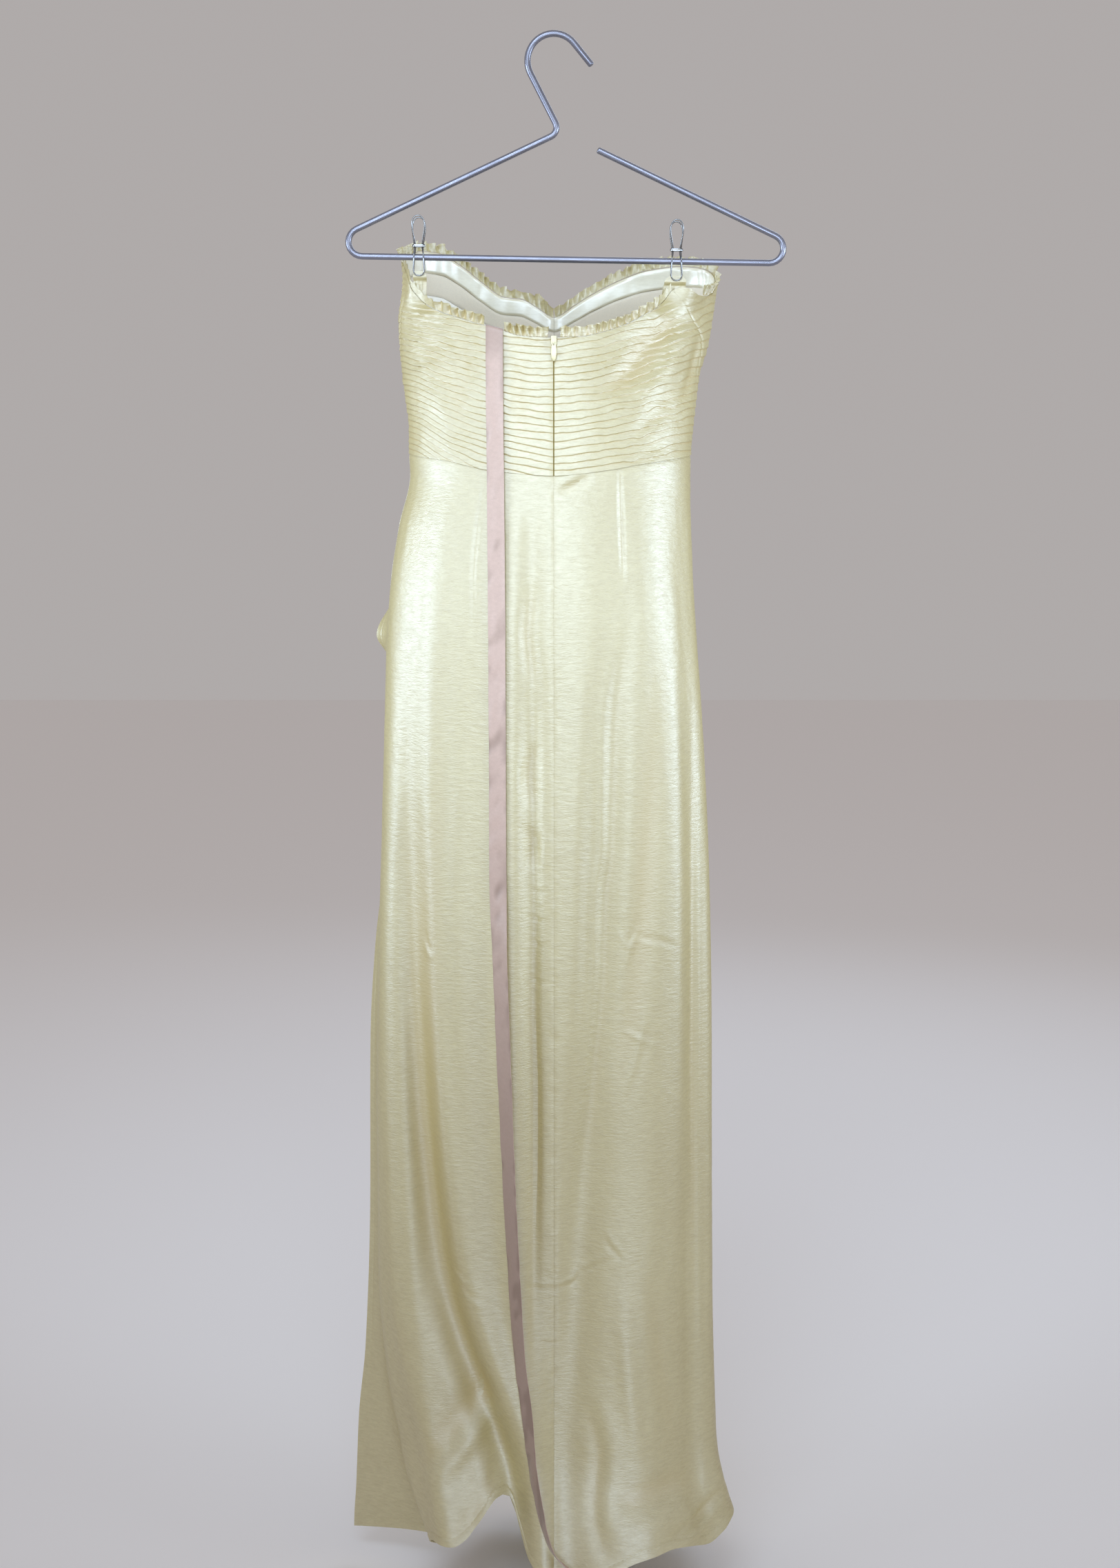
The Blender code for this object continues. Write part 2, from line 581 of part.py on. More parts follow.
def run_along(line, spacing):
    """Places along a line of points, as an index with a share, that are `spacing` metres apart."""
    length = np.r_[0, np.cumsum(np.linalg.norm(np.diff(line, axis=0), axis=1))]
    count = max(2, int(round(length[-1] / spacing)) + 1)
    return np.interp(np.linspace(0, length[-1], count), length, np.arange(len(line)))


def read_line(line, places):
    index = np.arange(len(line))
    return np.stack([np.interp(places, index, line[:, k]) for k in range(3)], axis=-1)


def cut_line(line, low_x, high_x):
    """The stretch of a back edge line between two values of X, with its ends at those values."""
    places = np.interp([low_x, high_x], line[:, 0], np.arange(len(line)))
    inside = [i for i in range(len(line)) if places[0] < i < places[1]]
    return np.r_[places[0], inside, places[1]]


def ruffle(name, panel, finish, low_x=None, high_x=None, start=0.0):
    """A gathered strip that stands on a panel's top edge, four points a wave.

    It runs between two values of X on the back, or from a place along the edge on the front.
    """
    outer, inner = panel[0][0], panel[1][0]
    if low_x is None:
        places = np.r_[start, np.arange(int(start) + 1, len(outer))]
    else:
        places = cut_line(outer, low_x, high_x)
    outer, inner = read_line(outer, places), read_line(inner, places)
    places = run_along(outer, RUFFLE_PITCH / 4)
    front, back = read_line(outer, places), read_line(inner, places)
    middle = 0.5 * (front + back)
    middle[:, 2] = np.maximum(front[:, 2], back[:, 2])
    out = front - back
    out[:, 2] = 0
    out = out / np.linalg.norm(out, axis=1, keepdims=True)
    near_clip = np.zeros(len(places))
    for clip in CLIPS:
        clip_x = clip_place(clip)[0]
        apart = np.hypot(middle[:, 0] - clip_x, middle[:, 1])
        near_clip = np.maximum(near_clip, smooth_step(CLIP_PULL_RADIUS, CLIP_FLAT_RADIUS, apart))
    calm = 1 - near_clip
    wave = np.sin(np.arange(len(places)) * np.pi / 2) * RUFFLE_WAVE * calm
    lean = smooth_step(RUFFLE_LEANS_AT, 1.0, np.abs(out[:, 0])) * RUFFLE_LEAN * calm
    run = np.gradient(middle, axis=0)
    steep = np.hypot(run[:, 0], run[:, 1]) / np.linalg.norm(run, axis=1)
    rows = []
    for share in (1.0, 0.0):
        tall = RUFFLE_HEIGHT * (RUFFLE_PRESSED + (1 - RUFFLE_PRESSED) * calm)
        rise = RUFFLE_FOOT_GAP / steep + share * tall
        shift = wave * (RUFFLE_FOOT_WAVE + (1 - RUFFLE_FOOT_WAVE) * share) + lean * share
        rows.append(middle + out * shift[:, None] + np.array([0, 0, 1.0]) * rise[:, None])
    points = set_in(np.array(rows), SEAM_GAP)
    along = np.gradient(points, axis=1)
    across = np.cross(np.array([0, 0, -1.0]), along)
    across = across / np.linalg.norm(across, axis=-1, keepdims=True) * 0.5 * RUFFLE_WALL
    wall(name, points + across, points - across, finish)


def inside_band(name, inner, rows, columns, gap, finish):
    """A band that lies on part of a panel's inside."""
    normals = grid_normals(inner)[rows][:, columns]
    points = set_in(inner[rows][:, columns] - normals * gap, 0.5 * SEAM_GAP)
    wall(name, points, points - normals * BAND_WALL, finish)


def peg_tab(clip, finish):
    """The piece of facing that comes up from inside the back to a peg's jaws."""
    across = np.linspace(-1, 1, TAB_COLUMNS)
    top = clip.height - TAB_SHOULDER * across ** 4
    low = edge_height(TOP_EDGE, clip.angle + TAB_HALF_ANGLE * across) - TAB_TUCKED_IN
    level = np.zeros(TAB_COLUMNS) + clip.height
    turn = 0.5 * (TAB_FORWARD_TOP + TAB_FORWARD_FOOT)
    heights = np.array([top, level - TAB_FORWARD_TOP, level - turn, level - TAB_FORWARD_FOOT, low])
    angles = np.broadcast_to(clip.angle + TAB_HALF_ANGLE * across, heights.shape)
    normals = form_normal(angles, heights)
    depth = (WALL + TAB_GAP) * smooth_step(TAB_FORWARD_TOP, TAB_FORWARD_FOOT, clip.height - heights)
    points = form_point(angles, heights) - normals * depth[..., None]
    wall(f"peg_tab_{clip.name}", points, points - normals * WALL, finish)


def sweep(bm, path, radius, sides, closed=False):
    """A round rod along a path."""
    path = np.asarray(path, float)
    count = len(path)
    if closed:
        heading = np.roll(path, -1, axis=0) - np.roll(path, 1, axis=0)
    else:
        heading = np.gradient(path, axis=0)
    heading = heading / np.linalg.norm(heading, axis=1, keepdims=True)
    turns = np.linspace(0, 2 * np.pi, sides, endpoint=False)
    rings = []
    for point, forward in zip(path, heading):
        side = np.cross(forward, (0.0, 1.0, 0.0))
        side = side / np.linalg.norm(side)
        up = np.cross(side, forward)
        ring = [bm.verts.new(point + radius * (np.cos(turn) * side + np.sin(turn) * up)) for turn in turns]
        rings.append(ring)
    pairs = range(count if closed else count - 1)
    for i in pairs:
        one, other = rings[i], rings[(i + 1) % count]
        for k in range(sides):
            bm.faces.new((one[k], one[(k + 1) % sides], other[(k + 1) % sides], other[k]))
    if not closed:
        bm.faces.new(rings[0])
        bm.faces.new(rings[-1])
    bmesh.ops.triangulate(bm, faces=bm.faces)


def fillet(before, corner, after, radius, steps):
    """Points of the round that joins two straight runs at a corner, in the plane of X and Z."""
    corner = np.asarray(corner, float)
    one = np.asarray(before, float) - corner
    other = np.asarray(after, float) - corner
    one = one / np.linalg.norm(one)
    other = other / np.linalg.norm(other)
    half = 0.5 * np.arccos(np.clip(one @ other, -1, 1))
    middle = one + other
    centre = corner + middle / np.linalg.norm(middle) * radius / np.sin(half)
    start = corner + one * radius / np.tan(half) - centre
    end = corner + other * radius / np.tan(half) - centre
    first = np.arctan2(start[1], start[0])
    last = np.arctan2(end[1], end[0])
    turn = (last - first + np.pi) % (2 * np.pi) - np.pi
    angles = first + turn * np.linspace(0, 1, steps)
    return [centre + radius * np.array([np.cos(a), np.sin(a)]) for a in angles]


def hanger_path():
    """The rod's middle line, from the free shoulder end round the bar and up into the hook."""
    right = np.array(BAR_RIGHT_CORNER)
    left = np.array(BAR_LEFT_CORNER)
    neck = np.array(NECK_CORNER)
    centre = np.array([0.0, ROD_RADIUS - HOOK_RADIUS])
    to_neck = neck - centre
    spread = np.degrees(np.arccos(HOOK_RADIUS / np.linalg.norm(to_neck)))
    join = np.degrees(np.arctan2(to_neck[1], to_neck[0])) - spread + 360.0
    turns = np.radians(np.linspace(join, HOOK_TIP_ANGLE, 20))
    hook = [centre + HOOK_RADIUS * np.array([np.cos(a), np.sin(a)]) for a in turns]
    tip = np.radians(HOOK_TIP_ANGLE)
    end = hook[-1] + HOOK_TIP_LENGTH * np.array([np.sin(tip), -np.cos(tip)])
    points = [np.array(SHOULDER_FREE_END)]
    points += fillet(SHOULDER_FREE_END, right, left, BAR_END_BEND, 11)
    points += fillet(right, left, neck, BAR_END_BEND, 11)
    points += fillet(left, neck, hook[0], NECK_BEND, 8)
    points += hook
    points.append(end)
    return [(x, 0.0, z) for x, z in points]


def bar_height(x):
    share = (x - BAR_LEFT_CORNER[0]) / (BAR_RIGHT_CORNER[0] - BAR_LEFT_CORNER[0])
    return BAR_LEFT_CORNER[1] + share * (BAR_RIGHT_CORNER[1] - BAR_LEFT_CORNER[1])


def make_hanger(finish):
    bm = bmesh.new()
    sweep(bm, hanger_path(), ROD_RADIUS, 8)
    return add_object("hanger", bm, finish)


def clip_wire(x, jaw, bar, facing, neck):
    """Closed path of one of a peg's two wires. facing is -1 for the wire whose jaw is in front of the cloth."""
    jaw_depth = 0.5 * WALL + SEAM_GAP + WIRE_RADIUS
    bar_depth = ROD_RADIUS + WIRE_RADIUS + WIRE_BAR_GAP
    right = [(JAW_HALF_WIDTH, jaw, jaw_depth)]
    right += [(place.across * MM, bar + place.up * MM, bar_depth) for place in WIRE_AT_BAR]
    right.append((neck, bar + NECK_RISE, 0.0))
    right += [(place.across * MM, bar + place.up * MM, -place.depth * MM) for place in WIRE_HANDLE]
    left = [(-a, b, c) for a, b, c in right[-2::-1]]
    return [(x + a, facing * c, b) for a, b, c in right + left]


def make_clip(clip, finish):
    """A wire peg on the bar: two bent wires that cross at the neck, held by a spring band."""
    x, edge = clip_place(clip)
    bar = bar_height(x)
    jaw = edge - CLIP_GRIP_DEPTH
    for part, facing, neck in (("front_wire", -1, FRONT_NECK), ("back_wire", 1, BACK_NECK)):
        bm = bmesh.new()
        sweep(bm, clip_wire(x, jaw, bar, facing, neck), WIRE_RADIUS, 6, closed=True)
        add_object(f"clip_{clip.name}_{part}", bm, finish)
    make_spring(f"clip_{clip.name}_spring", x, bar + NECK_RISE, finish)


def make_spring(name, x, z, finish):
    """A flat band bent into a long ring round the four wires at the neck."""
    outer = band_outline(SPRING_HALF_WIDTH, SPRING_HALF_DEPTH)
    inner = band_outline(SPRING_HALF_WIDTH - SPRING_WALL, SPRING_HALF_DEPTH - SPRING_WALL)
    bm = bmesh.new()
    loops = []
    for outline, side in ((outer, 1), (inner, 1), (inner, -1), (outer, -1)):
        loops.append([bm.verts.new((x + a, b, z + side * SPRING_HALF_HEIGHT)) for a, b in outline])
    for one, other in zip(loops, loops[1:] + loops[:1]):
        for k in range(len(one)):
            after = (k + 1) % len(one)
            bm.faces.new((one[k], one[after], other[after], other[k]))
    bmesh.ops.triangulate(bm, faces=bm.faces)
    return add_object(name, bm, finish)


def band_outline(half_width, half_depth):
    """A long round-ended outline in X and Y."""
    straight = half_width - half_depth
    points = []
    for centre, start in ((straight, -90), (-straight, 90)):
        for step in range(5):
            turn = np.radians(start + 45 * step)
            points.append((centre + half_depth * np.cos(turn), half_depth * np.sin(turn)))
    return points


def box(bm, low, high):
    """A box between two corners."""
    made = bmesh.ops.create_cube(bm, size=1.0)
    for vert in made["verts"]:
        vert.co = [low[k] + (vert.co[k] + 0.5) * (high[k] - low[k]) for k in range(3)]


def box_object(name, low, high, finish):
    bm = bmesh.new()
    box(bm, low, high)
    return add_object(name, bm, finish)


def apply_union(target, other):
    """Joins other to target as one body."""
    cut = target.modifiers.new("join", "BOOLEAN")
    cut.operation = "UNION"
    cut.object = other
    depsgraph = bpy.context.evaluated_depsgraph_get()
    joined = bpy.data.meshes.new_from_object(target.evaluated_get(depsgraph))
    target.modifiers.remove(cut)
    target.data = joined
    bpy.data.objects.remove(other)


def ring_plate(name, outer, inner, y_low, y_high, finish):
    """A flat plate in X and Z with one window. Both outlines have the same number of points."""
    bm = bmesh.new()
    loops = []
    for outline, y in ((outer, y_low), (inner, y_low), (inner, y_high), (outer, y_high)):
        loops.append([bm.verts.new((a, y, b)) for a, b in outline])
    for one, other in zip(loops, loops[1:] + loops[:1]):
        for k in range(len(one)):
            after = (k + 1) % len(one)
            bm.faces.new((one[k], one[after], other[after], other[k]))
    bmesh.ops.triangulate(bm, faces=bm.faces)
    return add_object(name, bm, finish)


def back_surface(height):
    """Y of the tucks' outermost points at centre back."""
    return float(form_point(np.array(0.0), np.array(height))[1]) - TUCK_RELIEF


def zip_tape(panels, finish):
    """The tape behind the centre-back seam, from the inner points of the four panels that meet there."""
    bodice_left, bodice_right, skirt_left, skirt_right = [panel[1] for panel in panels]
    count = int(np.sum(skirt_left[:, -1, 2] > ZIP_BOTTOM))
    rows = []
    on_bodice = (bodice_left, bodice_right, ZIP_BODICE_ROWS)
    on_skirt = (skirt_left, skirt_right, range(count))
    for left, right, picked in (on_bodice, on_skirt):
        for i in picked:
            rows.append([left[i, -2], 0.5 * (left[i, -1] + right[i, 0]), right[i, 1]])
    sheet = np.array(rows)
    normals = grid_normals(sheet)
    points = sheet - normals * ZIP_TAPE_GAP
    wall("zip_tape", points, points - normals * BAND_WALL, finish)


def make_zip(metal):
    """The slider on the centre-back seam and a pull tab that hinges on the slider's bridge."""
    low = ZIP_SLIDER_TOP - ZIP_SLIDER_HEIGHT
    face = min(back_surface(ZIP_SLIDER_TOP), back_surface(low)) - SEAM_GAP
    front = face - ZIP_SLIDER_DEPTH
    half_width = 0.5 * ZIP_SLIDER_WIDTH
    slider = box_object("zip_slider", (-half_width, front, low), (half_width, face, ZIP_SLIDER_TOP), metal)
    window_top = ZIP_SLIDER_TOP - BRIDGE_MARGIN
    window_low = low + BRIDGE_MARGIN
    bridge_front = front - BRIDGE_WINDOW - BRIDGE_WALL
    half_bridge = 0.5 * BRIDGE_WIDTH
    bars = (
        ((bridge_front, window_low - BRIDGE_WALL), (bridge_front + BRIDGE_WALL, window_top + BRIDGE_WALL)),
        ((bridge_front + BRIDGE_STEP, window_top), (front + BRIDGE_SINK, window_top + BRIDGE_WALL)),
        ((bridge_front + BRIDGE_STEP, window_low - BRIDGE_WALL), (front + BRIDGE_SINK, window_low)),
    )
    for (y0, z0), (y1, z1) in bars:
        apply_union(slider, box_object("bar", (-half_bridge, y0, z0), (half_bridge, y1, z1), metal))

    pivot_y = front - 0.5 * BRIDGE_WINDOW
    pivot_z = window_low + 0.5 * PULL_WALL + PULL_PLAY
    loops = []
    for half_outline in (PULL_OUTLINE, PULL_WINDOW):
        right = [(a * MM, pivot_z + b * MM) for a, b in half_outline]
        loops.append(right + [(-a, b) for a, b in right[-2:0:-1]])
    half_pull = 0.5 * PULL_WALL
    pull = ring_plate("zip_pull", loops[0], loops[1], pivot_y - half_pull, pivot_y + half_pull, metal)
    pivot = np.array([0.0, pivot_y, pivot_z])
    for vert in pull.data.vertices:
        vert.co = [vert.co[k] - pivot[k] for k in range(3)]
    pull.location = pivot


def angle_at(x, height):
    """Angle on the back where the plain form has this X."""
    half = np.where(x > 0, column(RINGS, "right", height), column(RINGS, "left", height))
    return np.degrees(np.arcsin(np.clip(x / half, -1, 1)))


def ribbon_inside(height):
    """The ribbon's two edges where it lies on the inside of the back."""
    x = RIBBON_TOP_X + np.array([-0.5, 0.5]) * RIBBON_WIDTH
    angles = angle_at(x, height)
    heights = np.full(2, height)
    depth = WALL + RIBBON_INSIDE_GAP + 0.5 * RIBBON_WALL
    return form_point(angles, heights) - form_normal(angles, heights) * depth


def ribbon_over():
    """Three rows of the ribbon's edges where it folds over the top edge."""
    x = RIBBON_TOP_X + np.array([-0.5, 0.5]) * RIBBON_WIDTH
    edge = edge_height(TOP_EDGE, angle_at(x, RIBBON_EDGE_HEIGHT))
    angles = angle_at(x, edge)
    crest = form_point(angles, edge)
    rows = []
    for point in RIBBON_OVER:
        rows.append(crest + np.array([0.0, point.inward * MM, point.up * MM + 0.5 * RIBBON_WALL]))
    return rows


def ribbon_outside(height):
    """The ribbon's two edges at a height outside the back, clear of the outermost cloth behind it."""
    heights = [row.height * MM for row in RIBBON_DROP]
    x = smooth_through(heights, [row.x * MM for row in RIBBON_DROP], height)
    turn = np.radians(smooth_through(heights, [row.turn for row in RIBBON_DROP], height))
    half_width = 0.5 * RIBBON_WIDTH * np.cos(turn)
    spread = np.linspace(-1, 1, 9)
    reach = x + spread * (half_width + RIBBON_LOOK_ASIDE)
    near = height + np.array(RIBBON_LOOK_UP)[:, None] * MM
    surface = form_point(angle_at(reach[None, :], near), near + 0 * reach[None, :])[..., 1].min(axis=0)
    surface = surface - TUCK_RELIEF * smooth_step(TUCKS_FOOT, TUCKS_START, height)
    tilt = np.clip(0.5 * (surface[-1] - surface[0]), -RIBBON_TILT_LIMIT, RIBBON_TILT_LIMIT)
    clear = (surface - tilt * spread).min() - RIBBON_CLEARANCE - 0.5 * RIBBON_WALL
    stand = 0.5 * RIBBON_WIDTH * np.sin(turn)
    edges = []
    for side in (-1, 1):
        edges.append([x + side * half_width, clear + side * tilt - stand - side * stand, height])
    return np.array(edges)


def make_ribbon(finish):
    """The ribbon from its end inside, over the top edge and down outside, past the hem to the right."""
    edge = float(edge_height(TOP_EDGE, angle_at(RIBBON_TOP_X, RIBBON_EDGE_HEIGHT)))
    fold = edge - RIBBON_FOLD_CLEAR
    rows = [ribbon_inside(height) for height in np.linspace(RIBBON_INSIDE_END, fold, 7)]
    rows += ribbon_over()
    outside = np.r_[np.linspace(fold, -1.30, 26), np.linspace(-1.33, RIBBON_DROP[0].height * MM, 9)]
    rows += [ribbon_outside(height) for height in outside]
    sheet = np.array(rows)
    normal = grid_normals(sheet)
    wall("ribbon", sheet + 0.5 * RIBBON_WALL * normal, sheet - 0.5 * RIBBON_WALL * normal, finish)


def make_dress():
    satin = material("satin", SATIN, 0.32)
    inside = material("satin_facing", SATIN_INSIDE, 0.38)
    zip_edge = float(np.degrees(ZIP_HALF_GAP / BODICE_HALF_WIDTH))
    zip_step = ZIP_TAPE_ANGLE / SKIRT_RIGHT_SEAM
    from_zip = columns_from(zip_step, 9)
    across_front = np.linspace(0, 1, 12)
    back_left = bodice_panel("bodice_back_left", "left", -zip_edge, 1 - from_zip[::-1], satin)
    back_right = bodice_panel("bodice_back_right", zip_edge, "right", from_zip, satin)
    across_right = np.r_[0.0, 0.5 * across_front[1], across_front[1:]]
    front_right = bodice_panel("bodice_front_right", "right", 180.0, across_right, satin)
    front_left = bodice_panel("bodice_front_left", -180.0, "left", across_front, satin)
    half_ribbon = 0.5 * RIBBON_WIDTH + RIBBON_LOOK_ASIDE
    left_end = float(back_left[0][0, 0, 0])
    ruffle("ruffle_back_left", back_left, satin, left_end, RIBBON_TOP_X - half_ribbon)
    ruffle("ruffle_back_middle", back_left, satin, RIBBON_TOP_X + half_ribbon, -ZIP_OPEN_TOP)
    ruffle("ruffle_back_right", back_right, satin, ZIP_OPEN_TOP, RUFFLE_RIGHT_END)
    ruffle("ruffle_front_right", front_right, satin, start=RUFFLE_FRONT_START)
    ruffle("ruffle_front_left", front_left, satin)
    for clip in CLIPS:
        peg_tab(clip, inside)
    grip = material("grip_band", GRIP, 0.6)
    lining = material("lining", LINING, 0.5)
    grip_foot = FACING_TUCKS + GRIP_TUCKS
    clear_of_right_seam = slice(2, None)
    clear_of_left_seam = slice(None, -2)
    fronts = (("right", front_right, clear_of_right_seam), ("left", front_left, clear_of_left_seam))
    for side, panel, columns in fronts:
        inner = panel[1]
        below = np.r_[grip_foot : len(inner) - 1 : 2, len(inner) - 1]
        inside_band(f"facing_{side}", inner, np.arange(0, FACING_TUCKS + 1), columns, BAND_GAP, inside)
        grip_rows = np.arange(FACING_TUCKS, grip_foot + 1)
        inside_band(f"grip_band_{side}", inner, grip_rows, columns, BAND_GAP, grip)
        inside_band(f"lining_{side}", inner, below, columns, LINING_GAP, lining)
    from_centre = columns_from(zip_step, 17)
    skirt_left = skirt_panel("skirt_back_left", SKIRT_LEFT_SEAM, 0.0, 1 - from_centre[::-1], BACK_ROWS, satin)
    skirt_right = skirt_panel("skirt_back_right", 0.0, SKIRT_RIGHT_SEAM, from_centre, BACK_ROWS, satin)
    skirt_panel("skirt_front", SKIRT_RIGHT_SEAM, SLIT_ANGLE + 360.0, np.linspace(0, 1, 24), FRONT_ROWS, satin)
    skirt_strip("skirt_front_strip", 5, BACK_ROWS, STRIP_DETAIL, satin)
    make_ribbon(material("ribbon_satin", RIBBON, 0.35))
    zip_tape((back_left, back_right, skirt_left, skirt_right), material("zip_tape", SATIN_INSIDE, 0.6))
    make_zip(material("zip_metal", SATIN, 0.4, 0.3))


def main():
    for old in list(bpy.data.objects):
        bpy.data.objects.remove(old)
    make_dress()
    make_hanger(material("hanger_metal", STEEL, 0.35, 1.0))
    wire = material("peg_wire", WIRE, 0.2, 1.0)
    for clip in CLIPS:
        make_clip(clip, wire)


main()
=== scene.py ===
"""Satin maxi dress on its hanger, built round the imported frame, with the light and camera of the photograph.

Metres, +Z up. The dress's back faces -Y, and its left side, as worn, is at -X. Angles round the dress are in
degrees: 0 at centre back, 90 at the right side, 180 at centre front and -90 at the left side. Grids of points
run from top to bottom and towards +angle.
"""

from collections import namedtuple

import bmesh
import bpy
import numpy as np
from mathutils import Euler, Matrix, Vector


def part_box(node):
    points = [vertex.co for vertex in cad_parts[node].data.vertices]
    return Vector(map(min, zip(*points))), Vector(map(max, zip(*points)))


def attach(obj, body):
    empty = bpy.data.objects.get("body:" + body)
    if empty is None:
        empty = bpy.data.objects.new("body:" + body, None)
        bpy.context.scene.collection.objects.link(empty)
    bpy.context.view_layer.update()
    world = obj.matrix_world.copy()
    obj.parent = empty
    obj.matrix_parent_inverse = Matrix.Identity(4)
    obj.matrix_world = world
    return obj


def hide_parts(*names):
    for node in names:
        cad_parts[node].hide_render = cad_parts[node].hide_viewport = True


bl_info = {
    "name": "Satin maxi dress",
    "version": (1, 0, 0),
    "blender": (4, 5, 0),
    "location": "View3D > Sidebar > Dress",
    "description": "Builds a pintucked satin dress, its hanger and pegs, and a plain studio",
    "category": "Object",
}

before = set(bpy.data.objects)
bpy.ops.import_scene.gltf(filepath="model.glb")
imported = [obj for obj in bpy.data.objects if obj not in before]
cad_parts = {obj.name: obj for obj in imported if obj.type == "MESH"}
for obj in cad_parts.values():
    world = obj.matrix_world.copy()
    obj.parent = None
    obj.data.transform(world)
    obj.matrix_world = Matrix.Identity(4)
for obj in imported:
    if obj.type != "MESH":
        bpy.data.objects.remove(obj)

MM = 0.001
BODY = "dress"

# Cloth
WALL = 1.2 * MM
SEAM_GAP = 0.3 * MM
RUFFLE_LEAN = 2.5 * MM
RUFFLE_FOOT_GAP = 0.3 * MM
TUCK_COUNT = 19
TUCK_RELIEF = 1.1 * MM
BAND_GAP = 0.45 * MM
LINING_GAP = 0.9 * MM
FACING_TUCKS = 2
GRIP_TUCKS = 2
RIBBON_WIDTH = 16.0 * MM
RIBBON_WALL = 1.0 * MM
RIBBON_CLEARANCE = 0.4 * MM
RIBBON_TOP_X = -55.0 * MM
ZIP_HALF_GAP = 0.6 * MM
ZIP_TAPE_ANGLE = 3.2
ZIP_TAPE_GAP = 0.6 * MM
ZIP_OPEN_TOP = 5.5 * MM
# Half width of the bodice at the zip's opening, and the angle at which each back panel ends beside the zip.
BODICE_HALF_WIDTH = 0.145
ZIP_EDGE_ANGLE = float(np.degrees(ZIP_HALF_GAP / BODICE_HALF_WIDTH))

# Hanger and pegs
ROD_RADIUS = 3.0 * MM
HOOK_RADIUS = 24.5 * MM
HOOK_TIP_ANGLE = 40.0
HOOK_TIP_LENGTH = 26.0 * MM
NECK_CORNER = (5.8 * MM, -85.1 * MM)
NECK_BEND = 9.0 * MM
BAR_LEFT_CORNER = (-238.0 * MM, -196.8 * MM)
BAR_RIGHT_CORNER = (264.0 * MM, -204.9 * MM)
BAR_END_BEND = 13.0 * MM
BAR_END_STEPS = 11
NECK_STEPS = 8
HOOK_STEPS = 20
ROD_SIDES = 28
# Turns in degrees at which a rod's rounded end has its rings, and its length as a share of the radius.
ROD_END_TURNS = (0, 25, 50, 75)
ROD_END_LENGTH = 0.5
SHOULDER_FREE_END = (40.6 * MM, -101.0 * MM)
WIRE_RADIUS = 0.6 * MM
CLIP_GRIP_DEPTH = 4.4 * MM
CLIP_FLAT_RADIUS = 13.0 * MM
CLIP_PULL_RADIUS = 36.0 * MM
CLIP_PULL_FLATTEN = 0.8
# Cosines of the angles between which a peg's pull fades out towards the sides.
CLIP_PULL_NONE_AT = 0.15
CLIP_PULL_FULL_AT = 0.42
WIRE_BAR_GAP = 0.7 * MM
JAW_HALF_WIDTH = 5.5 * MM
NECK_RISE = 10.5 * MM
FRONT_WIRE_NECK = 4.1 * MM
BACK_WIRE_NECK = 2.5 * MM
WIRE_SIDES = 12
# A wire's corners are cut this many times, each time by a share of the runs beside them.
CORNER_CUTS = 3
CORNER_SHARE = 0.25
# Half of a peg's wire beside the bar and round its handle, in millimetres from the bar's middle.
WirePlace = namedtuple("WirePlace", "across up depth")
WIRE_AT_BAR = (WirePlace(4.7, -4.0, 0.0), WirePlace(4.4, 2.0, 0.0))
WIRE_HANDLE = (
    WirePlace(6.2, 26.0, 5.2), WirePlace(5.6, 33.0, 6.4), WirePlace(3.2, 36.6, 6.8),
    WirePlace(0.0, 37.6, 6.9),
)
# Section of a peg's spring band, in millimetres: half width, half depth and height from its middle.
BandRing = namedtuple("BandRing", "half_width half_depth height")
SPRING_BAND = (
    BandRing(6.1, 2.3, 1.0), BandRing(6.0, 2.2, 1.2), BandRing(5.4, 1.6, 1.2), BandRing(5.3, 1.5, 1.0),
    BandRing(5.3, 1.5, -1.0), BandRing(5.4, 1.6, -1.2), BandRing(6.0, 2.2, -1.2), BandRing(6.1, 2.3, -1.0),
)
SPRING_STEPS = 17
# Angle round the dress and height of the cloth edge that each peg grips.
Clip = namedtuple("Clip", "name angle height")
CLIPS = (Clip("left", -62.0, -211.0 * MM), Clip("right", 47.0, -215.5 * MM))
TAB_HALF_ANGLE = 5.5
TAB_SHOULDER = 5.0 * MM
TAB_TUCKED_IN = 5.0 * MM
TAB_GAP = 1.2 * MM
TAB_FORWARD_TOP = 5.5 * MM
TAB_FORWARD_FOOT = 9.5 * MM
TAB_COLUMNS = 33
TAB_ROWS = 36
TAB_LOOSE_RUN = 4 * MM
# Painted shade in the hollows of a peg's tab: the depth at which it is full, and its tone.
TAB_HOLLOW = 0.8 * MM
TAB_HOLLOW_TONE = 0.7
RUFFLE_RIGHT_END = 111.0 * MM
RUFFLE_FRONT_START = 2.6

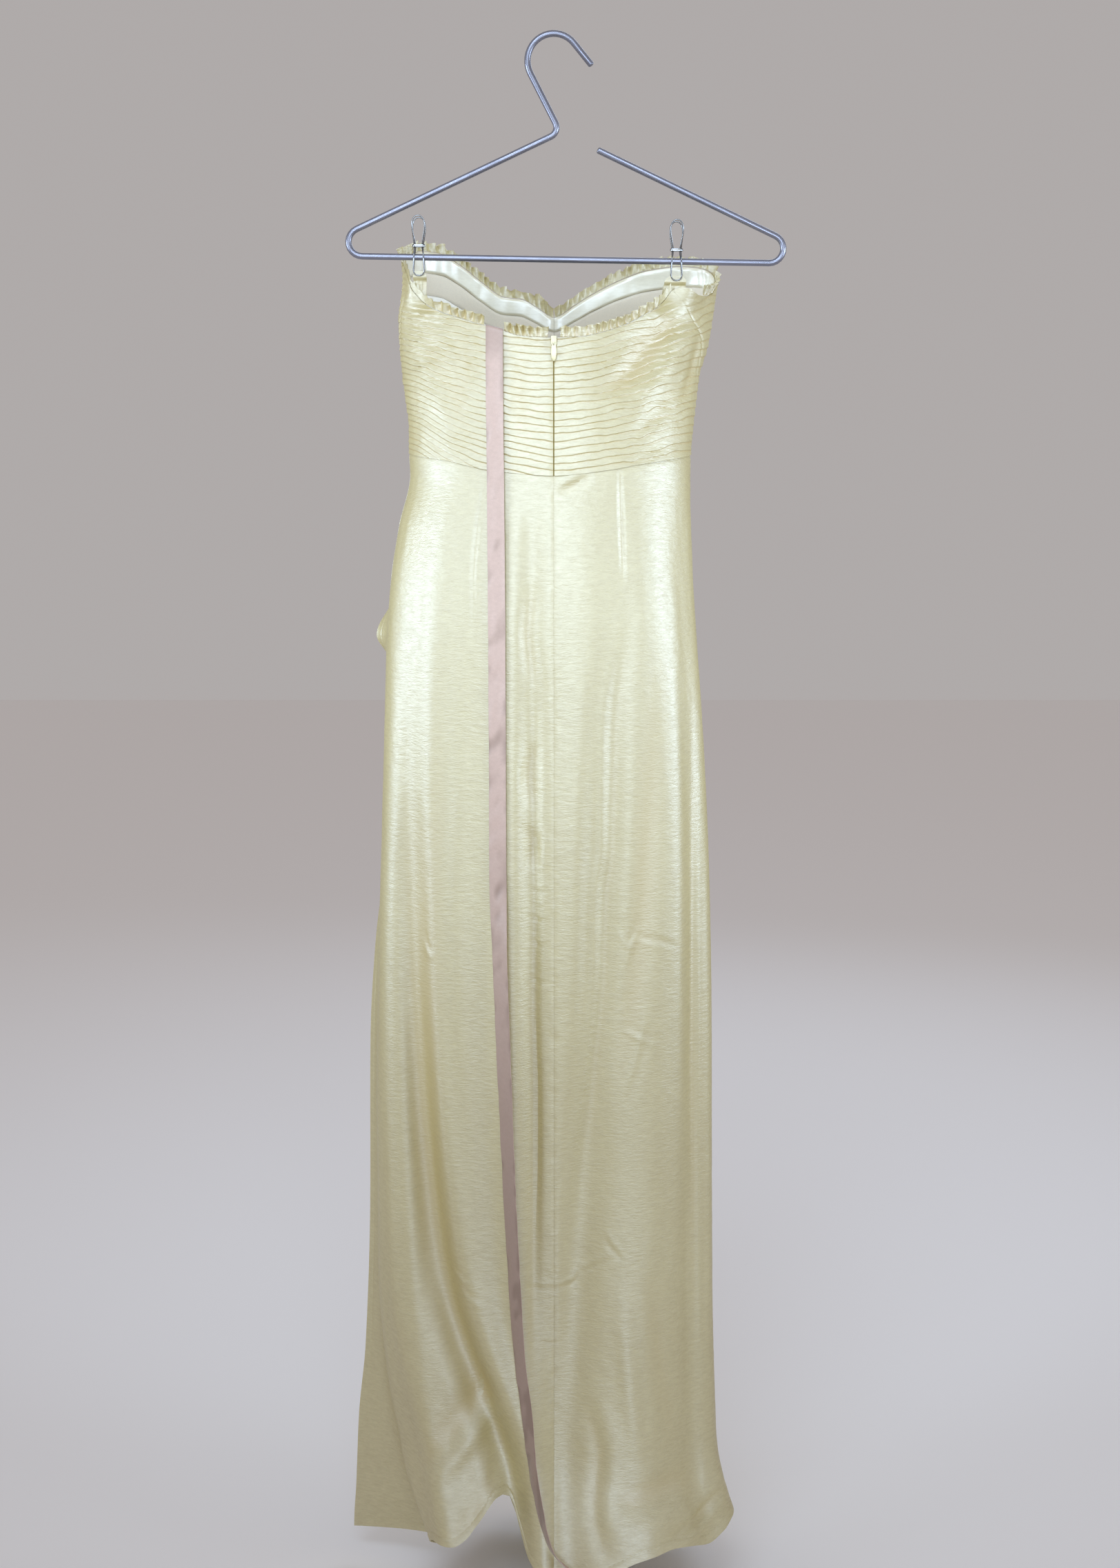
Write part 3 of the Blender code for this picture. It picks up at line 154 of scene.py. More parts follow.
# Outer form of the dress by height, in millimetres. left and right are the half widths from the centre-back
# line, left_depth and right_depth are where the sides lie along Y, back and front are the reach along -Y and
# +Y, and bend is the power of the cosine that carries the back from its centre to its sides.
Ring = namedtuple("Ring", "height left right left_depth right_depth back front bend")
RINGS = (
    Ring(-1510, 112, 184, -35, 0, 98, 108, 0.85),
    Ring(-1480, 128, 182, -30, 0, 92, 106, 0.85),
    Ring(-1430, 145, 173, -20, 0, 86, 104, 0.85),
    Ring(-1380, 157, 167, -10, 0, 82, 103, 0.85),
    Ring(-1300, 171, 163.5, -2, 0, 80, 102, 0.85),
    Ring(-1200, 178, 160, 0, 0, 79, 100, 0.85),
    Ring(-1050, 178, 157.5, 0, 0, 78, 97, 0.85),
    Ring(-900, 175, 155, 0, 0, 77, 95, 0.85),
    Ring(-750, 169, 150, 0, 0, 76, 93, 0.85),
    Ring(-640, 165, 144, 0, 0, 75, 92, 0.85),
    Ring(-560, 162, 138, 0, 0, 74, 90, 0.90),
    Ring(-500, 157, 134, 1, 2, 71, 87, 0.95),
    Ring(-450, 149, 132, 3, 4, 66, 83, 1.00),
    Ring(-400, 138, 131, 5, 6, 60, 79, 1.00),
    Ring(-380, 139, 131, 6, 8, 59, 80, 1.05),
    Ring(-357, 139, 133, 7, 12, 58, 83, 1.10),
    Ring(-330, 142, 136, 8, 18, 56, 87, 1.20),
    Ring(-305, 145, 139, 10, 26, 54, 92, 1.30),
    Ring(-280, 147, 147, 12, 36, 51, 95, 1.40),
    Ring(-255, 148, 152, 14, 44, 48, 95, 1.50),
    Ring(-230, 145, 156, 16, 50, 46, 93, 1.60),
    Ring(-215, 144, 158, 18, 54, 45, 92, 1.60),
    Ring(-185, 147, 152, 22, 54, 44, 86, 1.60),
)
FRONT_BEND = 0.9
# Steps in degrees and metres between the neighbours from which a direction is read.
ANGLE_NUDGE = 0.5
NORMAL_NUDGE = 0.4
NORMAL_STEP = 0.0015

# Heights of the seams and edges round the dress, in millimetres by angle.
Edge = namedtuple("Edge", "angle height")
TOP_EDGE = (
    Edge(-180, -246), Edge(-173, -236), Edge(-167, -228), Edge(-160, -226), Edge(-151, -213),
    Edge(-140, -196), Edge(-130, -187), Edge(-120, -186), Edge(-108, -191), Edge(-95, -197),
    Edge(-85, -202), Edge(-78, -209), Edge(-73, -219), Edge(-69, -227), Edge(-64, -233),
    Edge(-58, -240), Edge(-52, -246), Edge(-44, -252.5), Edge(-36, -258), Edge(-28, -264),
    Edge(-20, -269), Edge(-12, -275.5), Edge(0, -277), Edge(10, -276), Edge(18, -271.5),
    Edge(26, -264.5), Edge(30, -259.5), Edge(34, -254), Edge(38, -248.5), Edge(42, -240),
    Edge(46, -229), Edge(50, -226), Edge(55, -227), Edge(62, -232), Edge(75, -229),
    Edge(88, -217), Edge(100, -206), Edge(115, -200), Edge(129, -198), Edge(144, -201),
    Edge(155, -209), Edge(166, -223), Edge(173, -235), Edge(180, -246),
)
WAIST_SEAM = (
    Edge(-180, -380), Edge(-90, -381), Edge(-46, -389), Edge(-28, -397), Edge(0, -403),
    Edge(22, -398), Edge(39, -392), Edge(90, -382), Edge(180, -380),
)
HEM = (
    Edge(-180, -1490), Edge(-125, -1488), Edge(-88, -1480), Edge(-76, -1474), Edge(-64, -1461),
    Edge(-52, -1450), Edge(-46, -1447), Edge(-40, -1446), Edge(-37, -1443), Edge(-34, -1438),
    Edge(-31, -1430), Edge(-28, -1422), Edge(-25, -1413), Edge(-22, -1406), Edge(-19, -1405),
    Edge(-16.5, -1414), Edge(-14, -1436), Edge(-10, -1460), Edge(0, -1474), Edge(10, -1477),
    Edge(18, -1467), Edge(25, -1458), Edge(31, -1454), Edge(38, -1451), Edge(46, -1454),
    Edge(55, -1459), Edge(63, -1452), Edge(70, -1444), Edge(80, -1440), Edge(92, -1448),
    Edge(115, -1474), Edge(150, -1488), Edge(180, -1490),
)

# Side seams, by share of the bodice's height from waist to top edge.
SeamAngle = namedtuple("SeamAngle", "share left right")
SIDE_SEAMS = (
    SeamAngle(0.0, -88, 86), SeamAngle(0.35, -87, 82), SeamAngle(0.7, -82, 73), SeamAngle(0.82, -79, 63),
    SeamAngle(0.91, -75, 53), SeamAngle(1.0, -70, 46.5),
)
SKIRT_LEFT_SEAM = -88.0
SKIRT_RIGHT_SEAM = 86.0
SLIT_ANGLE = -125.0
SLIT_CLEARANCE = 0.5
SLIT_TOP = -0.49
SLIT_OPENS_OVER = 0.04
# Share of the depth from the side seam to the slit's edge at which the narrow strip turns.
STRIP_TURN = 0.65
ROWS_TO_HEM = 0.10

# Soft folds of the skirt: angle and depth (mm, outward) at four heights, and half width in degrees.
FOLD_HEIGHTS = (-1.45, -1.15, -0.80, -0.45)
Fold = namedtuple("Fold", "name angles depths spread")
FOLDS = (
    Fold("left lobe", (-44, -60, -68, -70), (14, 7, 4, 1), 10),
    Fold("left sweep", (-15, -42, -55, -58), (-20, -12, -3, 0), 6.5),
    Fold("sweep ridge", (-4, -31, -43, -46), (6, 8, 4, 1), 6),
    Fold("ribbon ridge", (-5, -12, -13, -14), (0, 3, 3, 2), 4),
    Fold("centre trough", (0, -5, -6.5, -7.5), (0, -5, -8, -2), 4),
    Fold("right sweep", (3, 9, 17.5, 26), (-7, -10, -8, -1), 8),
    Fold("right ridge", (30, 36, 44, 48), (8, 6, 5, 2), 13),
    Fold("right trough", (56, 58, 60, 62), (-4, -4, -3, 0), 7),
    Fold("right side ridge", (72, 74, 76, 78), (5, 4, 3, 1), 8),
    Fold("front fold 1", (112, 110, 108, 106), (-12, -8, -4, 0), 8),
    Fold("front fold 2", (132, 130, 126, 124), (10, 8, 5, 1), 9),
    Fold("front fold 3", (150, 150, 148, 146), (-13, -9, -5, -1), 8),
    Fold("front fold 4", (170, 170, 169, 168), (11, 8, 5, 1), 9),
    Fold("front fold 5", (-170, -169, -169, -170), (-12, -9, -5, 0), 8),
    Fold("front fold 6", (-150, -149, -150, -152), (9, 7, 4, 1), 8),
    Fold("front fold 7", (-134, -134, -136, -138), (-8, -6, -3, 0), 7),
)
FOLDS_TOP = -0.40
FOLDS_FULL = -0.47
HEM_FLARE = 26.0 * MM
LOBE_CURL = 25.0 * MM
LOBE_CURL_ANGLE = -78.0
LOBE_CURL_SPREAD = 28.0
LOBE_CURL_TOP = -1.39
LOBE_CURL_FOOT = -1.49
FLARE_TOP = -1.36
FLARE_FOOT = -1.50
# Cosines of the angles at which the hem's flare starts at the sides and is full on the back.
FLARE_STARTS_AT = -0.1
FLARE_FULL_AT = 0.5
CUP_SWELL = 12.0 * MM
CUP_HEIGHT = -0.262
CUP_SPREAD = 0.045
CUP_ANGLE = 142.0
CUP_ANGLE_SPREAD = 20.0
CLEAVAGE_DEPTH = 8.0 * MM
CLEAVAGE_SPREAD = 12.0
CLEAVAGE_FOOT = -0.36
CLEAVAGE_TOP = -0.28

# Free edge of the narrow front strip at the slit, in millimetres.
StripEdge = namedtuple("StripEdge", "height x y")
STRIP_EDGE = (
    StripEdge(-1497, -212, 30), StripEdge(-1448, -209, 30), StripEdge(-1371, -205, 30),
    StripEdge(-1295, -197, 30), StripEdge(-1145, -190, 30), StripEdge(-962, -187, 31),
    StripEdge(-869, -181, 33), StripEdge(-792, -171, 38), StripEdge(-680, -154, 46),
    StripEdge(-600, -156, 42), StripEdge(-577, -164, 34), StripEdge(-556, -175, 28),
    StripEdge(-530, -163, 36), StripEdge(-500, -137, 50), StripEdge(-450, -123, 50),
    StripEdge(-380, -114, 48),
)

# Middle line of the ribbon outside the dress, in millimetres, and the turn of its width from X, in degrees.
RibbonRow = namedtuple("RibbonRow", "height x turn")
RIBBON_DROP = (
    RibbonRow(-1476, 34, 78), RibbonRow(-1460, 14, 72), RibbonRow(-1440, -3, 68),
    RibbonRow(-1404, -14, 62), RibbonRow(-1374, -20, 58), RibbonRow(-1318, -26, 50),
    RibbonRow(-1246, -34, 45), RibbonRow(-1105, -42, 41), RibbonRow(-1000, -46, 36),
    RibbonRow(-864, -51, 29), RibbonRow(-765, -53, 0), RibbonRow(-565, -53, 0),
    RibbonRow(-262, -55, 0),
)
RIBBON_INSIDE_END = -0.372
RIBBON_INSIDE_GAP = 1.2 * MM
RIBBON_EDGE_HEIGHT = -0.262
# Where the ribbon's middle lies as it folds over the top edge, in millimetres from the edge.
OverPoint = namedtuple("OverPoint", "inward up")
RIBBON_OVER = (OverPoint(2.5, -0.2), OverPoint(0.6, 1.2), OverPoint(-2.3, 0.0))
RIBBON_LOOK_ASIDE = 1.0 * MM
RIBBON_LOOK_POINTS = 9
RIBBON_LOOK_UP = (-6.0, -3.0, 0.0, 3.0, 6.0)
RIBBON_TILT_LIMIT = 3.0 * MM
TUCKS_FOOT = -0.412
TUCKS_START = -0.404

# Studio
FLOOR = -1526.5 * MM
CAMERA_PLACE = (5.75 * MM, -1843.0 * MM, -431.5 * MM)
CAMERA_PITCH = 8.3
CAMERA_LENS = 43.6
LIGHT_COLOUR = (0.80, 1.0, 1.24)

# Finer detail of the cloth
FINE_BAND_WALL = 0.8 * MM
FINE_RUFFLE_WALL = 0.5 * MM
FINE_SEAM_GAP = 0.1 * MM
# Place along the front-left ruffle, reach and added share of height of the flap beside the sweetheart point.
FLAP_PLACE = 15.0 * MM
FLAP_REACH = 9.0 * MM
FLAP_HEIGHT = 0.5
SEAM_DIP = 0.5 * MM
SEAM_DIP_REACH = 1.7 * MM
HEM_BAND = 8.0 * MM
HEM_PLY = 0.3 * MM
HEM_GROOVE = 0.5 * MM
BODICE_ROWS = 290
TUCK_WOBBLE = 0.17
RIBBON_STAND_OFF = 1.0 * MM
# The ribbon's painted shade, darker towards the bottom: the height where it starts, where it is full, and its
# tone.
RIBBON_LOW_SHADE_STARTS = -0.55
RIBBON_LOW_SHADE_FULL = -1.15
RIBBON_LOW_SHADE_TONE = 0.75
RIBBON_CALM = 15 * MM
RIBBON_HOLDS = 0.7
RIBBON_FOLD_DROP = 8 * MM
RIBBON_STAND_STARTS = 6 * MM
RIBBON_STAND_FULL = 30 * MM
RIBBON_INSIDE_ROWS = 14
RIBBON_OUTSIDE_ROWS = 150
RIBBON_GRID = (640, 11)
FINE_RIBBON_WALL = 0.6 * MM
RIBBON_LIFT = 0.5
RIBBON_CUP = 0.25 * MM
RIBBON_CREASES_RUN = 0.05
# Painted shade in the ribbon's crease hollows: the relief it is read below, the depth at which it is full, and
# its tone.
RIBBON_CREST = 0.4 * MM
RIBBON_HOLLOW = 0.8 * MM
RIBBON_HOLLOW_TONE = 0.8
SHORTEST_CUT = 10.0 * MM
SEAM_GAP_ANGLE = 0.02
BODICE_BACK_COLUMNS = 112
BODICE_FRONT_COLUMNS = 128
# Rows and columns of the fine side for each one of the plain side.
BODICE_STEP = (8, 4)
SKIRT_STEP = (4, 4)
STRIP_STEP = (4, 3)
SMALL_STEP = (3, 3)
NARROW_STEP = (2, 2)
RUFFLE_STEPS = (1, 1)

# Noise on the cloth: how much, the length of its humps across and down, and its seed. Lengths are in metres,
# or in degrees where a form goes by the angle.
Humps = namedtuple("Humps", "amount across down seed")
NOISE_LATTICE = 97
DRAPE = (Humps(0.7, 13.0, 0.26, 0), Humps(0.2, 5.2, 0.09, 1))
DRAPE_SLANTED = Humps(0.09, 1.0, 0.012, 2)
SLANT_ACROSS = 3.1
SLANT_DOWN = 0.035
TUCK_WAVES = (Humps(1.0, 19 * MM, 13 * MM, 11), Humps(0.6, 8 * MM, 9 * MM, 12))
TUCK_UNEVEN = Humps(0.35, 16 * MM, 1.0, 23)
PUCKER = Humps(0.25 * MM, 9 * MM, 1.6, 5)
TAB_WAVES = Humps(0.9 * MM, 0.3125, 16 * MM, 81)
BODICE_DRAPE_SEED = 31
SKIRT_SEED = 3
STRIP_SEED = 71
# Small creases across the ribbon: depth in millimetres, spacing, how far they lean and change from the middle
# to an edge, and their seed.
RibbonWave = namedtuple("RibbonWave", "depth spacing slant change seed")
RIBBON_WAVES = (RibbonWave(0.5, 0.045, 0.5, 0.6, 91), RibbonWave(0.45, 0.012, 0.6, 1.0, 92))

# Ways in which a ruffle's pleats change along it: the mean, the amount, the length of a change and where its
# noise is read.
Change = namedtuple("Change", "mean amount run lane")
PLEAT_PITCH = Change(1.0, 0.45, 13 * MM, 0.5)
PLEAT_SIZE = Change(0.95, 0.45, 9 * MM, 2.5)
PLEAT_TWIST = Change(0.0, 0.9, 10 * MM, 6.5)
PLEAT_CURL = Change(0.6, 1.1, 7 * MM, 8.5)
PLEAT_HEIGHT = Change(0.0, 0.2, 5 * MM, 4.5)
RUFFLE_SEED = 41
RUFFLE_STEP = 0.62 * MM
RUFFLE_ROWS = 11
RUFFLE_EDGE_COLUMNS = 240
RUFFLE_RIBBON_GAP = 1 * MM
# How square the pleats are, their share of the wave at the foot and the power by which it grows upwards.
PLEAT_SQUARE = 1.5
PLEAT_FOOT = 0.1
PLEAT_GROWTH = 0.8
CURL_REACH = 1.6 * MM
LEAN_STARTS = 0.3
PLEAT_SLIDE = 1.5 * MM
PLEAT_SLIDE_TURN = 0.5
PLEAT_DROP = 0.1
RUFFLE_HELD_HEIGHT = 0.85
# Painted shade in the pleats' hollows: the wave's values where it starts and is full, its tone, how much it
# fades towards the top, and the painted shade near the foot.
PLEAT_HOLLOW = (0.4, -0.7)
PLEAT_HOLLOW_TONE = 0.8
PLEAT_HOLLOW_FADE = 0.35
RUFFLE_FOOT_SHADE_TONE = 0.3
# How far below the top edge a second line is read for the direction of the cloth there.
EDGE_STEP_SHARE = 1e-4
EDGE_STEP = 0.5 * MM

# A tuck steps out over this share of its height, falls back by this power, and has its painted shade darkest
# beside its step.
TUCK_STEPS_OVER = 0.13
TUCK_FALL = 0.8
TUCK_EVEN = 0.9
TUCK_SEED_STEP = 3.7
TUCK_SHADE_ABOVE = 0.1
TUCK_SHADE_BELOW = 0.8
# Angles between which the tucks of the right back are crushed, and how much more they wander there.
CRUSHED_FROM = (15, 45)
CRUSHED_TO = (84, 60)
CRUSHED_MORE = 0.6
BODICE_DRAPE = 0.6
# Painted shade in the bodice's creases: the depth at which it is full, and its greatest tone.
BODICE_HOLLOW = 4.0 * MM
BODICE_HOLLOW_TONE = 0.6

# A crease is read within this many half breadths. Its ends fade by a power of a sine, and the dip beside it
# lies and spreads at so many half breadths.
CREASE_REACH = 6
CREASE_FADE = 0.9
CREASE_DIP_PLACE = 1.9
CREASE_DIP_SPREAD = 1.3

# Skirt: where the drape starts under the waist seam and beside a seam, and the masks of the painted shade in
# its hollows.
WAIST_CALM = 60 * MM
WAIST_DRAPE = 0.25
SEAM_CALM = 7 * MM
SEAM_HOLDS = 0.5
SKIRT_HOLLOW = 3.5 * MM
SKIRT_HOLLOW_TONE = 0.6
STRIP_HOLLOW = 3.0 * MM
STRIP_HOLLOW_TONE = 0.35
SKIRT_BACK_GRID = (470, 136)
SKIRT_FRONT_GRID = (300, 190)
STRIP_GRID = (430, 44)
STRIP_EDGE_CALM = 12 * MM
STRIP_GROOVE_REACH = 1.0 * MM
HEM_BAND_EDGE = 1.0 * MM
HEM_GROOVE_REACH = 1.1 * MM
# Spacing of the hem's stitches in stitch lengths.
STITCH_SPACING = 1.7
STITCH_LIFT = 0.22 * MM
STITCH_END_SINK = 0.25 * MM
STITCH_HALF_WIDTH = 0.16 * MM
STITCH_HALF_DEPTH = 0.13 * MM

# Bands inside the front: the slant of their folds, the calm beside their seams, and the painted shade at their
# ends.
BAND_SLANT = 22.0
BAND_SIDE_CALM = 4 * MM
BAND_END_CALM = 2.5 * MM
BAND_STAND = 0.4 * MM
BAND_END_SHADE_TONE = 0.4

# Zip: the grid of its tape, and the coil's span, spacing and teeth in metres.
TAPE_GRID = (130, 13)
TAPE_END = 1 * MM
COIL_TOP = -0.2875
COIL_FOOT = -0.402
TOOTH_SPACING = 1.5 * MM
TOOTH_SIDE = 0.25 * MM
TOOTH_HALF_WIDTH = 1.0 * MM
TOOTH_HALF_HEIGHT = 0.45 * MM
TOOTH_DEPTHS = (0.02 * MM, 0.42 * MM)
SLIDER_ROUND = 0.2 * MM
PULL_ROUND = 0.25 * MM
# Joining distance, and the angles in degrees that count as flat, get rounded and stay sharp.
JOIN_DISTANCE = 0.01 * MM
FLAT_ANGLE = 2
ROUNDED_ANGLE = 30
SHARP_ANGLE = 50
ROUND_SEGMENTS = 3

# Looks of the cloths. colour and shade name colours of the panel, and fold names the colour of painted shade
# that a piece's mask mixes in. grain is the number of slubs and of threads in a metre, across and down. relief
# is the bump's strength and depth. The rest goes to the shader.
ClothLook = namedtuple("ClothLook", "name colour shade fold grain tone roughness relief constants")
SATIN = ClothLook(
    "creped satin", "satin", "satin_shade", "satin_fold", (110, 430, 330, 1500), 1.0, 0.51,
    (1.0, 0.6 * MM), {"Metallic": 0.0, "Specular IOR Level": 1.0, "IOR": 2.2},
)
FACING = ClothLook(
    "facing satin", "facing", "satin_shade", "satin_fold", (80, 480, 330, 1500), 0.3, 0.36,
    (0.4, 0.3 * MM), {"Sheen Weight": 0.2, "Sheen Roughness": 0.45, "Specular IOR Level": 1.0, "IOR": 1.8},
)
GRIP = ClothLook(
    "grip tape", "grip", "grip_shade", "grip_shade", (500, 900, 1500, 1500), 0.5, 0.62,
    (0.5, 0.25 * MM), {"Specular IOR Level": 0.4},
)
LINING = ClothLook(
    "lining cloth", "lining", "lining_shade", "lining_shade", (200, 200, 900, 900), 0.35, 0.5,
    (0.25, 0.2 * MM), {"Sheen Weight": 0.1, "Specular IOR Level": 0.5},
)
RIBBON = ClothLook(
    "ribbon cloth", "ribbon", "ribbon_shade", "ribbon_shade", (240, 300, 1200, 1200), 0.35, 0.42,
    (0.2, 0.2 * MM), {"Sheen Weight": 0.2, "Sheen Roughness": 0.45, "Specular IOR Level": 0.6},
)
TAPE = ClothLook(
    "zip tape weave", "satin_shade", "satin_fold", "satin_fold", (900, 900, 1600, 1600), 0.5, 0.7,
    (0.5, 0.2 * MM), {},
)
MetalLook = namedtuple("MetalLook", "name grain roughness relief metallic")
ENAMEL = MetalLook("zip enamel", 700.0, 0.35, (0.1, 0.05 * MM), 0.3)
PAINTED_ROD = MetalLook("painted rod", 90.0, 0.33, (0.02, 0.05 * MM), 0.8)
BRIGHT_WIRE = MetalLook("bright wire", 200.0, 0.2, (0.02, 0.03 * MM), 1.0)
ROD_WORN = 0.8
WIRE_WORN = (0.16, 0.16, 0.16, 1.0)
# Weights of the slubs against the threads and of the grain against the slow changes. Each pair is the middle
# value and the gain by which a noise is spread out.
SLUB_DETAIL = 3.0
THREAD_DETAIL = 2.0
SCRATCH_DETAIL = 4.0
SLUB_WEIGHT = 0.6
GRAIN_WEIGHT = 0.75
GRAIN_TONE = (0.3, 2.2)
GRAIN_ROUGHNESS = (0.5, 0.25)
GRAIN_SLOW_SCALE = 7.0
WORN_TONE = (0.42, 2.0)
WORN_ROUGHNESS = (0.5, 0.3)
WORN_SLOW_SCALE = 28.0

# Bands inside the front, from the top edge down. puff is the depth of the folds and their size in degrees and
# in metres.
Band = namedtuple("Band", "name slot look rows gap puff seed")
BANDS = (
    Band("facing", "satin_facing", FACING, 22, BAND_GAP, (2.4 * MM, 5.0, 0.03), 0),
    Band("grip_band", "grip_band", GRIP, 18, BAND_GAP, (0.4 * MM, 9.0, 0.05), 1),
    Band("lining", "lining", LINING, 60, LINING_GAP, (3.4 * MM, 9.0, 0.07), 2),
)
# Where the bands meet, as shares of the bodice's height.
BAND_EDGES = (1, 1 - FACING_TUCKS / TUCK_COUNT, 1 - FACING_TUCKS / TUCK_COUNT - GRIP_TUCKS / TUCK_COUNT, 0)
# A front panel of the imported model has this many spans, and the bands stop short of the side seams.
FRONT_SPANS = 11
BAND_RIGHT_STARTS = 1
BAND_LEFT_ENDS = 9
BAND_RIGHT_COLUMNS = 120
BAND_LEFT_COLUMNS = 110
BAND_RIGHT_SEED = 51
BAND_LEFT_SEED = 61

# Soft lights. power names the setting of the panel, and spread is the width of the beam in degrees.
Lamp = namedtuple("Lamp", "name power place target size spread")
LAMPS = (
    Lamp("key", "key", (0.0, -2.05, -0.36), (0.0, 0.0, -0.46), (2.4, 0.7), 54.0),
    Lamp("top", "top", (-0.3, -1.4, 0.65), (0.0, 0.0, -0.38), (1.2, 0.8), 62.0),
    Lamp("side_left", "side", (-2.0, -0.9, -0.3), (0.0, 0.0, -0.45), (0.9, 0.8), 44.0),
    Lamp("side_right", "side", (2.0, -0.9, -0.3), (0.0, 0.0, -0.45), (0.9, 0.8), 44.0),
    Lamp("rear", "rear", (0.8, 2.4, 0.9), (0.0, 0.0, -0.7), (1.6, 1.6), 140.0),
    Lamp("low", "low", (0.35, -1.7, -1.38), (0.09, 0.0, -1.42), (0.5, 0.3), 32.0),
)
FLOOR_HALF = 9.0
FLOOR_ROUGHNESS = 0.9

# Lines that the tucks of the back follow, in millimetres: low is the lowest tuck's, high the uppermost's.
TuckLine = namedtuple("TuckLine", "x low high")
TUCK_LINES = (
    TuckLine(-150, -352, -252), TuckLine(-130, -358, -257), TuckLine(-98, -377, -264),
    TuckLine(-65, -391, -272), TuckLine(-30, -400, -278), TuckLine(0, -405, -279),
    TuckLine(40, -401, -273), TuckLine(75, -396, -262), TuckLine(110, -389, -250),
    TuckLine(135, -384, -240), TuckLine(160, -380, -228),
)

# Creases, each a smooth line through X and Z in millimetres, read along the longer of the two. width is its
# half breadth and depth its height, both in millimetres. side is the share of the depth that goes into the
# opposite dip beside it, to the right of or above the line where it is positive.
Crease = namedtuple("Crease", "points width depth side")
BACK_CREASES = (
    Crease(((61.6, -392), (63, -450), (64.5, -503)), 2.2, -1.8, 0.0),
    Crease(((-63, -392), (-71, -450), (-75, -499), (-75, -560)), 2.2, -1.0, 0.0),
    Crease(((-3, -420), (14, -414), (38, -405)), 4.0, -2.2, 0.6),
    Crease(
        ((-131, -700), (-127, -900), (-118, -1080), (-100, -1200), (-66, -1325), (-30, -1400)),
        15.0, -3.2, 0.5,
    ),
    Crease(((-150, -780), (-146, -1000), (-138, -1200), (-128, -1320)), 9.0, 2.0, 0.4),
    Crease(((-88, -560), (-92, -780), (-86, -960), (-74, -1120), (-60, -1260)), 12.0, 2.2, -0.5),
    Crease(((-20, -500), (-25, -550), (-19, -600)), 7.0, -2.0, 0.4),
    Crease(((-20, -650), (-25, -685), (-20, -715)), 7.0, -1.9, -0.3),
    Crease(((-24, -728), (-19, -745), (-21, -775)), 6.5, -1.7, 0.3),
    Crease(
        ((-20, -790), (-22, -900), (-18, -1000), (-21, -1150), (-22, -1280), (-18, -1385)),
        5.5, -2.0, 0.5,
    ),
    Crease(((-10, -600), (-11, -750), (-10, -950), (-11, -1200)), 4.0, 0.9, 0.0),
    Crease(
        ((60, -520), (46, -640), (45, -751), (39, -800), (38, -865), (26, -990), (14, -1110)),
        6.0, 2.4, 0.7,
    ),
    Crease(((26, -560), (22, -720), (20, -900), (12, -1060)), 11.0, 2.0, 0.0),
    Crease(((94, -540), (90, -700), (80, -860), (66, -1010)), 12.0, -2.4, -0.4),
    Crease(((116, -500), (120, -700), (122, -900), (126, -1150)), 8.0, 1.6, 0.4),
    Crease(((-129, -849), (-122, -857), (-115, -860)), 3.2, 0.7, 0.6),
    Crease(((61, -838), (72, -848), (84, -832)), 3.0, 0.6, 0.6),
    Crease(((74, -845), (71, -858), (70, -868)), 2.8, 0.5, 0.4),
    Crease(((71, -834), (95, -842), (117, -845)), 2.6, -0.5, -0.6),
    Crease(((90, -836), (108, -845), (124, -851)), 2.4, -0.4, 0.5),
    Crease(((64, -930), (84, -939), (102, -945)), 3.0, 0.5, 0.6),
    Crease(((88, -905), (78, -960), (64, -1010)), 3.6, 0.6, 0.6),
    Crease(((47, -1139), (58, -1150), (69, -1158)), 2.8, -0.7, 0.6),
    Crease(((-38, -1186), (-8, -1189), (16, -1186), (31, -1172), (68, -1156)), 2.4, -0.65, 0.8),
    Crease(((-14, -1243), (-6, -1245), (6, -1244)), 2.2, -0.6, 0.6),
    Crease(((-103, -1173), (-94, -1178), (-82, -1183)), 2.6, 0.7, 0.5),
    Crease(((-95, -1190), (-83, -1199), (-68, -1206)), 2.6, 0.7, 0.5),
    Crease(((132, -600), (135, -900), (140, -1290)), 4.0, -1.2, 0.5),
    Crease(((144, -700), (147, -1000), (151, -1300)), 3.4, -0.9, 0.5),
    Crease(((-26, -790), (-14, -794), (-3, -791)), 2.2, -0.5, 0.6),
    Crease(((-25, -819), (-13, -822), (-3, -820)), 2.2, -0.5, 0.6),
    Crease(((-24, -841), (-13, -846), (-3, -843)), 2.0, -0.5, 0.6),
    Crease(((-24, -877), (-12, -882), (-3, -879)), 2.0, -0.5, 0.6),
    Crease(((-132, -1394), (-104, -1370), (-80, -1345), (-52, -1322)), 12.0, 4.0, 0.7),
    Crease(((-112, -1438), (-84, -1424), (-66, -1402), (-52, -1385)), 11.0, -1.8, -0.4),
    Crease(((46, -1396), (80, -1402), (118, -1396), (150, -1404)), 15.0, -3.4, -0.9),
    Crease(((112, -1440), (140, -1434), (176, -1416)), 5.0, -2.4, -0.9),
    Crease(((34, -1300), (44, -1360), (40, -1420), (52, -1462)), 8.0, -2.2, 0.5),
    Crease(((96, -1150), (106, -1270), (116, -1370)), 9.0, -1.8, 0.5),
    Crease(((66, -1180), (74, -1290), (82, -1380)), 9.0, 1.8, 0.4),
)
